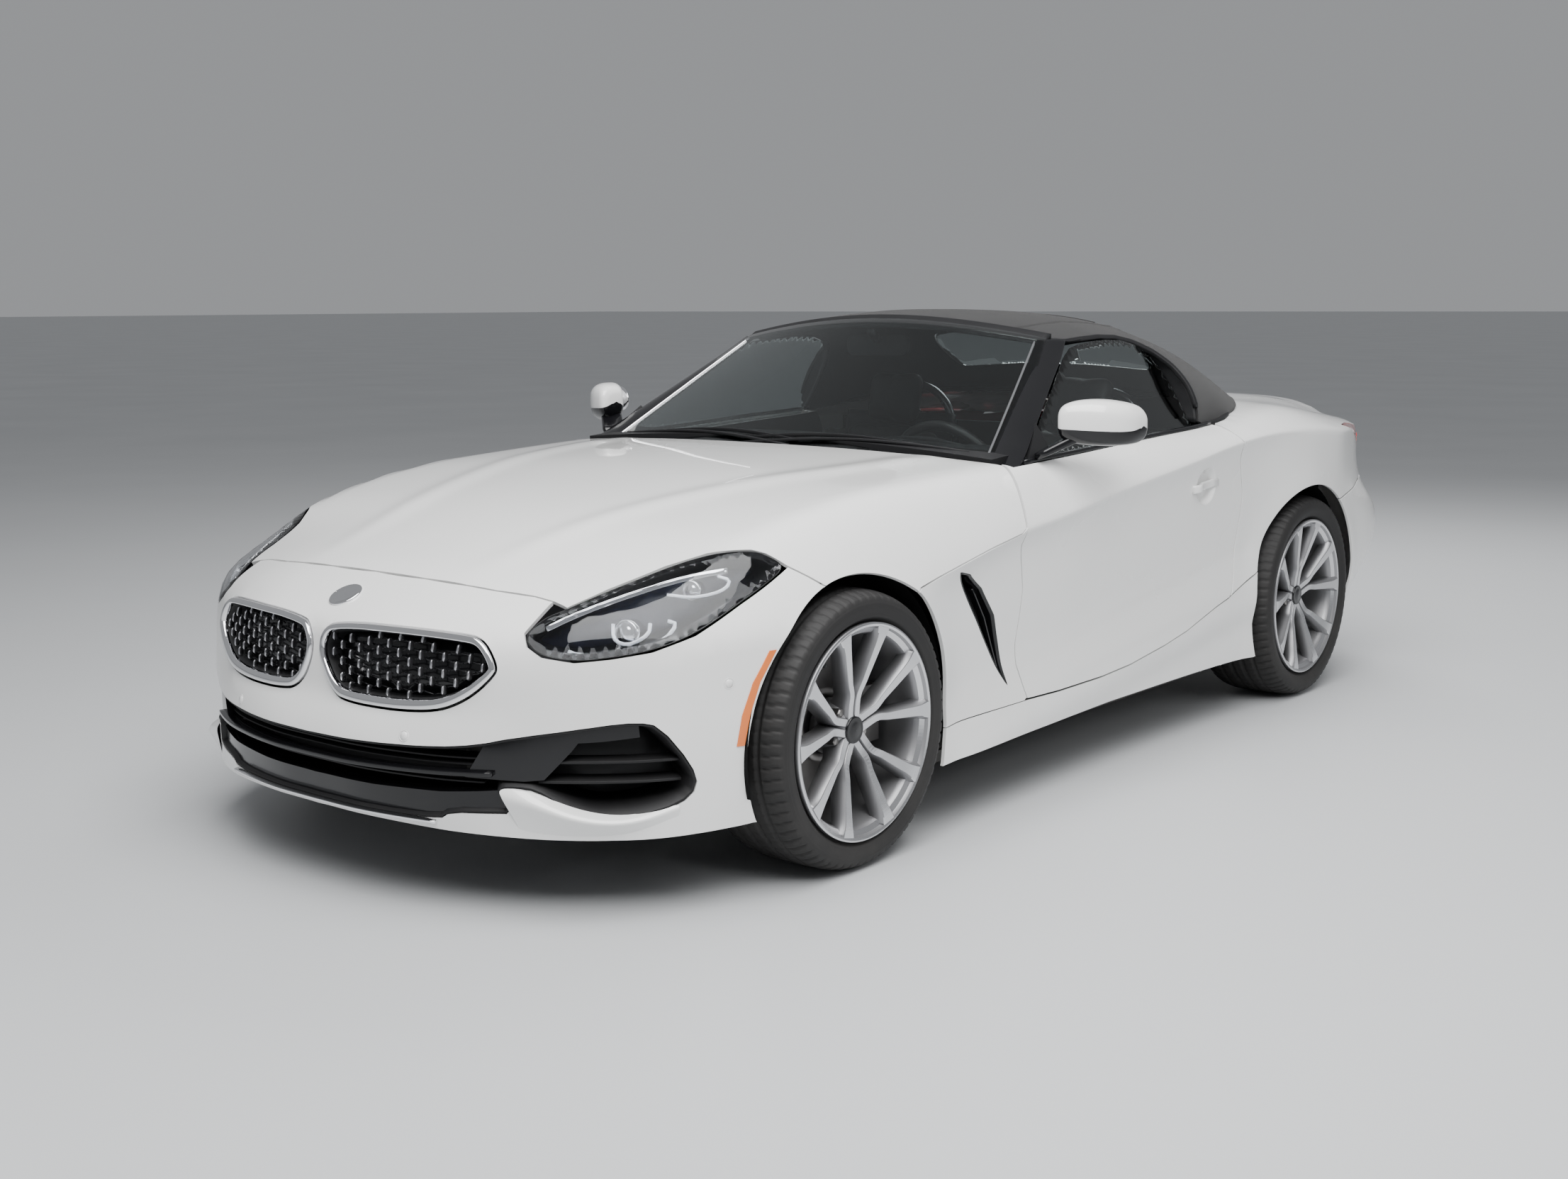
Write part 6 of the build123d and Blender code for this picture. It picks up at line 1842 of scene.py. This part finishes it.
COVER_PRESSURE = 4.0
COVER_REACH = 0.012
COVER_FRAMES = 12


def puffed(piece):
    """A pad's cover blown up a little by cloth simulation: movement is capped and no cloth stays."""
    start = np.zeros(len(piece.data.vertices) * 3)
    cloth = piece.modifiers.new("cover", "CLOTH")
    cloth.settings.use_pressure = True
    cloth.settings.uniform_pressure_force = COVER_PRESSURE
    cloth.settings.effector_weights.gravity = 0
    cloth.settings.quality = 5
    cloth.point_cache.frame_start = 1
    cloth.point_cache.frame_end = COVER_FRAMES
    piece.data.vertices.foreach_get("co", start)
    for frame_number in range(1, COVER_FRAMES + 1):
        bpy.context.scene.frame_set(frame_number)
    view = piece.evaluated_get(bpy.context.evaluated_depsgraph_get())
    moved = np.zeros_like(start)
    view.data.vertices.foreach_get("co", moved)
    piece.modifiers.remove(cloth)
    bpy.context.scene.frame_set(1)
    step = (moved - start).reshape(-1, 3)
    far = np.linalg.norm(step, axis=1)[:, None]
    step *= np.minimum(1, COVER_REACH / np.maximum(far, 1e-9))
    piece.data.vertices.foreach_set("co", (start.reshape(-1, 3) + step).ravel())
    piece.data.update()
    return piece


SEAT_X = 0.372
UPRIGHT = np.array([0.0, 0.30, 0.954])
LEANING = np.array([0.0, -0.954, 0.30])
for side, word in SIDES:
    middle = side * SEAT_X
    y = FRONT_AXLE
    parts = [
        pad(f"seat_base_{word}", (middle, y + 1.480, 0.405), (1, 0, 0), (0, 0.985, -0.17), (0, 0.17, 0.985),
            (0.165, 0.235, 0.055), channels=((1, -0.45, 0.010), (1, 0.0, 0.010), (1, 0.45, 0.010))),
        pad(f"seat_back_{word}", (middle, y + 1.775, 0.670), (1, 0, 0), UPRIGHT, LEANING,
            (0.160, 0.245, 0.055), channels=((1, -0.5, 0.010), (1, -0.1, 0.010), (1, 0.3, 0.010))),
        pad(f"head_pad_{word}", (middle, y + 1.905, 0.985), (1, 0, 0), (0, 0.22, 0.975), (0, -0.975, 0.22),
            (0.105, 0.088, 0.042), channels=((0, 0.0, 0.004),)),
    ]
    for edge, edge_word in ((-1, "inner"), (1, "outer")):
        parts.append(pad(f"seat_bolster_{edge_word}_{word}", (middle + edge * 0.190, y + 1.470, 0.425),
                         (1, 0, 0), (0, 0.985, -0.17), (-edge * 0.5, 0.15, 0.86), (0.062, 0.225, 0.050)))
        parts.append(pad(f"back_bolster_{edge_word}_{word}", (middle + edge * 0.185, y + 1.745, 0.660),
                         (1, 0, 0), UPRIGHT, (-edge * 0.6, -0.78, 0.24), (0.060, 0.230, 0.050)))
    for piece in parts:
        puffed(piece)
        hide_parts("seats")
    shell_path = np.array([(middle, y + 1.300, 0.330), (middle, y + 1.560, 0.300), (middle, y + 1.760, 0.350),
                           (middle, y + 1.850, 0.600), (middle, y + 1.925, 0.860),
                           (middle, y + 1.940, 0.930)])
    swept(f"seat_shell_{word}", rounded(shell_path, 2, closed=False), (0.225, 0.022, 0.018, 5), BODY,
          "cabin_plastic", (0, -0.7, 0.7))
    for rail, place in (("inner", -0.15), ("outer", 0.15)):
        bar = np.array([(middle + place, y + 1.290, 0.190), (middle + place, y + 1.520, 0.182),
                        (middle + place, y + 1.750, 0.180)])
        swept(f"seat_rail_{rail}_{word}", bar, (0.022, 0.030, 0.006, 4), BODY, "cabin_plastic",
              look="black_plastic")
        riser = np.array([(middle + place, y + 1.400, 0.200), (middle + place, y + 1.420, 0.320)])
        swept(f"seat_riser_{rail}_{word}", riser, (0.018, 0.060, 0.006, 4), BODY, "cabin_plastic", (0, 1, 0),
              look="black_plastic")
    hoop = np.array([
        (middle - 0.17, y + 2.03, 0.80), (middle - 0.165, y + 2.02, 0.93), (middle - 0.10, y + 2.015, 1.01),
        (middle, y + 2.01, 1.030), (middle + 0.10, y + 2.015, 1.01), (middle + 0.165, y + 2.02, 0.93),
        (middle + 0.17, y + 2.03, 0.80),
    ])
    swept(f"roll_hoop_{word}", rounded(hoop, 3, closed=False), (0.014, 0.014, 0.012, 5), BODY,
          "cabin_plastic", (0, 1, 0), look="satin_trim")

# %% Dashboard, console and wheel
DASH_LINE = rounded([(-0.492, 0.872), (-0.330, 0.868), (-0.262, 0.842), (-0.222, 0.790), (-0.216, 0.735),
                     (-0.236, 0.700), (-0.300, 0.670), (-0.300, 0.610), (-0.440, 0.575), (-0.492, 0.600)], 3)
dash_across = np.linspace(-1, 1, 61)
sag = 1 - 0.10 * np.abs(dash_across) ** 4
dash = np.stack([
    np.broadcast_to(0.724 * dash_across[:, None], (61, len(DASH_LINE))),
    -0.492 + (DASH_LINE[None, :, 0] + 0.492) * sag[:, None],
    0.575 + (DASH_LINE[None, :, 1] - 0.575) * (1 - 0.03 * dash_across[:, None] ** 2),
], axis=-1)
board = merged("dash_board", [(dash, False, True, True)], BODY, "cabin_plastic", look="cabin_leather")
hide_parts("dashboard")
hub = node_centre("steering_wheel")
hood = np.array([(hub[0] - 0.20, -0.260, 0.862), (hub[0] - 0.14, -0.250, 0.905), (hub[0], -0.246, 0.918),
                 (hub[0] + 0.14, -0.250, 0.905), (hub[0] + 0.20, -0.260, 0.862)])
swept("dial_hood", rounded(hood, 3, closed=False), (0.060, 0.010, 0.008, 4), BODY, "cabin_plastic",
      (0, 0.2, 1))


def slab(name, centre, half, tilt, body, slot, look=None, corner=0.008):
    """A thin rounded panel that faces the seats, leaning back by tilt; half = (wide, tall, thick)."""
    section = rounded_box(half[0], half[1], corner, 5)
    depths = [(-half[2], 0.94), (-half[2], 1.0), (half[2] * 0.4, 1.0), (half[2], 0.97)]
    lean = np.array([0.0, math.sin(tilt), math.cos(tilt)])
    out = np.array([0.0, math.cos(tilt), -math.sin(tilt)])
    rings = [np.asarray(centre) + size * (section[:, 0:1] * (1, 0, 0) + section[:, 1:2] * lean) + depth * out
             for depth, size in depths]
    return merged(name, [(np.stack(rings), False, True, True)], body, slot, look=look)


slab("dial_screen", (hub[0], -0.248, 0.845), (0.150, 0.048, 0.006), -0.35, BODY, "cabin_plastic",
     "gloss_black")
slab("centre_screen", (0.0, -0.222, 0.850), (0.150, 0.056, 0.008), -0.35, BODY, "cabin_plastic",
     "gloss_black")
for place in (-0.62, -0.30, 0.0):
    where = round(place * -100)
    slab(f"air_vent_{where}", (place, -0.212, 0.762), (0.090 if place else 0.110, 0.022, 0.008), -0.1, BODY,
         "cabin_plastic", "gloss_black")
    for number in range(3):
        height = 0.750 + 0.012 * number
        bar = np.array([(place - 0.085, -0.205, height), (place, -0.203, height),
                        (place + 0.085, -0.205, height)])
        swept(f"vent_slat_{where}_{number}", bar, (0.006, 0.0012, 0.001, 3), BODY, "cabin_plastic",
              look="satin_trim" if number == 1 else "black_plastic")
console = np.array([(0.0, -0.260, 0.560), (0.0, -0.120, 0.500), (0.0, 0.060, 0.455), (0.0, 0.300, 0.450),
                    (0.0, 0.480, 0.470), (0.0, 0.640, 0.480)])
swept("console", rounded(console, 2, closed=False), (0.108, 0.120, 0.030, 6), BODY, "cabin_plastic")
pad("console_rest", (0.0, 0.430, 0.600), (1, 0, 0), (0, 1, 0.03), (0, 0, 1), (0.085, 0.160, 0.030),
    look="cabin_leather", slot="cabin_plastic")
knob = np.array([(0.0, -0.030, 0.560), (0.0, -0.026, 0.620), (0.0, -0.014, 0.665)])
swept("gear_knob", knob, (0.022, 0.030, 0.014, 6), BODY, "cabin_plastic", (0, 1, 0), [0.6, 0.8, 1.0],
      look="gloss_black")
slab("console_trim", (0.0, -0.060, 0.592), (0.090, 0.120, 0.004), 1.28, BODY, "cabin_plastic", "gloss_black")

tilt = math.radians(24)
wheel_axis = np.array([0.0, math.cos(tilt), math.sin(tilt)])
wheel_side = np.array([1.0, 0.0, 0.0])
wheel_up = np.cross(wheel_side, wheel_axis)
hub = np.array([hub[0], FRONT_AXLE + 1.150, 0.790])
ring_turn = np.linspace(0, 2 * np.pi, 96, endpoint=False)
grip_turn = np.linspace(0, 2 * np.pi, 20, endpoint=False)
flat_low = 1 - 0.05 * np.clip(-np.sin(ring_turn), 0, 1) ** 4
radial = (np.cos(ring_turn)[:, None] * wheel_side + np.sin(ring_turn)[:, None] * wheel_up) * flat_low[:, None]
thumb = 1 + 0.16 * np.exp(-((np.abs(np.cos(ring_turn)) - 0.90) / 0.10) ** 2)
rim_grid = (hub + 0.184 * radial[:, None]
            + (0.0150 * thumb)[:, None, None] * np.cos(grip_turn)[None, :, None] * radial[:, None]
            + (0.0165 * thumb)[:, None, None] * np.sin(grip_turn)[None, :, None] * wheel_axis)
rim_piece = merged("steering_rim", [(rim_grid, True, True, False)], "steering_wheel", "cabin_plastic",
                   look="cabin_leather")
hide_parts("steering_wheel")
boss = [(0.0005, -0.030), (0.052, -0.030), (0.066, -0.006), (0.064, 0.012), (0.050, 0.022), (0.020, 0.026),
        (0.0005, 0.026)]
button("steering_boss", hub, wheel_axis, boss, "steering_wheel", "cabin_plastic")
button("steering_disc", hub + 0.024 * wheel_axis, wheel_axis,
       [(0.0005, 0.0), (0.020, 0.0), (0.020, 0.003), (0.0005, 0.004)], "steering_wheel", "cabin_plastic",
       look="satin_trim")
for number, bearing in enumerate((8, 172, 270)):
    way = math.cos(math.radians(bearing)) * wheel_side + math.sin(math.radians(bearing)) * wheel_up
    reach = np.linspace(0.052, 0.174, 9)[:, None]
    swept(f"steering_spoke_{number}", hub + reach * way - 0.004 * wheel_axis, (0.020, 0.007, 0.005, 4),
          "steering_wheel", "cabin_plastic", wheel_axis,
          np.stack([np.linspace(1.3, 0.8, 9), np.ones(9)], axis=1),
          look="satin_trim" if number == 2 else None)
stem = screen_point(np.array([0.0]), np.array([1.225]))[0]
stem_path = np.array([stem + (0, 0.010, 0), stem + (0, 0.030, -0.012), stem + (0, 0.050, -0.030)])
swept("mirror_stem", stem_path, (0.012, 0.010, 0.006, 4), BODY, "cabin_plastic")
slab("inner_mirror", stem + (0, 0.058, -0.045), (0.118, 0.032, 0.011), 0.1, BODY, "cabin_plastic",
     "black_plastic", 0.024)
for side, word in SIDES:
    reach = np.linspace(0.0, 1.0, 14)
    hump = np.sin(np.pi * reach)
    arm_line = screen_point(side * (0.86 - 0.98 * reach), 0.906 + 0.022 * hump) - (0, 0.012, -0.006)
    swept(f"wiper_arm_{word}", arm_line, (0.0065, 0.0040, 0.002, 4), BODY, "black_plastic")
    blade_line = screen_point(side * (0.66 - 0.80 * reach), 0.921 + 0.018 * hump) - (0, 0.006, -0.003)
    swept(f"wiper_blade_{word}", blade_line, (0.0035, 0.0050, 0.001, 3), BODY, "black_plastic")

# %% [markdown]
# ## Camera, floor and light
# The camera stands where it shows the car at three quarters from the front, a little above its bonnet. Wide
# soft lamps overhead and beside the car draw long even highlights on the paint, and a dim pale world fills
# the rest.

# %% Camera
camera_data = bpy.data.cameras.new("camera")
camera_data.lens = 42.06
camera_data.sensor_width = 36
camera = bpy.data.objects.new("camera", camera_data)
camera.location = (3.3924, -4.6031, 1.3164)
camera.rotation_euler = (1.4152, 0.0041, 0.6835)
bpy.context.scene.collection.objects.link(camera)
bpy.context.scene.camera = camera


# %% Lamps
def soft_lamp(name, place, target, size, power, mirrored_in_gloss=True):
    """A rectangular area lamp that looks from its place towards a target; it may stay out of reflections."""
    data = bpy.data.lights.new(name, "AREA")
    data.shape = "RECTANGLE"
    data.size, data.size_y = size
    data.energy = power
    lamp = bpy.data.objects.new(name, data)
    lamp.location = place
    aim = Vector(target) - Vector(place)
    lamp.rotation_euler = aim.to_track_quat("-Z", "Y").to_euler()
    lamp.visible_glossy = mirrored_in_gloss
    bpy.context.scene.collection.objects.link(lamp)
    return lamp


soft_lamp("overhead", (1.9, -2.4, 4.8), (0.3, -0.4, 0.0), (4.6, 5.4), 640)
soft_lamp("behind", (-0.8, 4.4, 4.4), (0.0, 1.2, 0.4), (4.6, 3.4), 260, False)
soft_lamp("left", (6.6, 1.4, 3.4), (0.8, 0.6, 0.6), (5.0, 1.6), 80, False)


# %% Finishes on the measured nodes that stay
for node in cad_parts.values():
    for index, holder in enumerate(node.material_slots):
        named = holder.material.name.split(".")[0] if holder.material else ""
        if named in FINISH:
            node.data.materials[index] = FINISH[named]
        else:
            print("no finish for", node.name, named)

# %% Floor and light
finish("studio_floor", (0.52, 0.53, 0.54), (0.48, 0.49, 0.50), (0.40, 0.55), bump=0.02, grain_scale=60.0,
       patch_scale=0.7)
floor_mesh = bpy.data.meshes.new("floor")
floor_mesh.from_pydata([(-200, -200, 0), (200, -200, 0), (200, 200, 0), (-200, 200, 0)], [], [(0, 1, 2, 3)])
floor_mesh.materials.append(FINISH["studio_floor"])
floor = bpy.data.objects.new("floor", floor_mesh)
bpy.context.scene.collection.objects.link(floor)
world = bpy.data.worlds.new("studio")
bpy.context.scene.world = world
world.use_nodes = True
world.node_tree.nodes["Background"].inputs["Color"].default_value = (0.9, 0.92, 0.95, 1)
world.node_tree.nodes["Background"].inputs["Strength"].default_value = 0.36
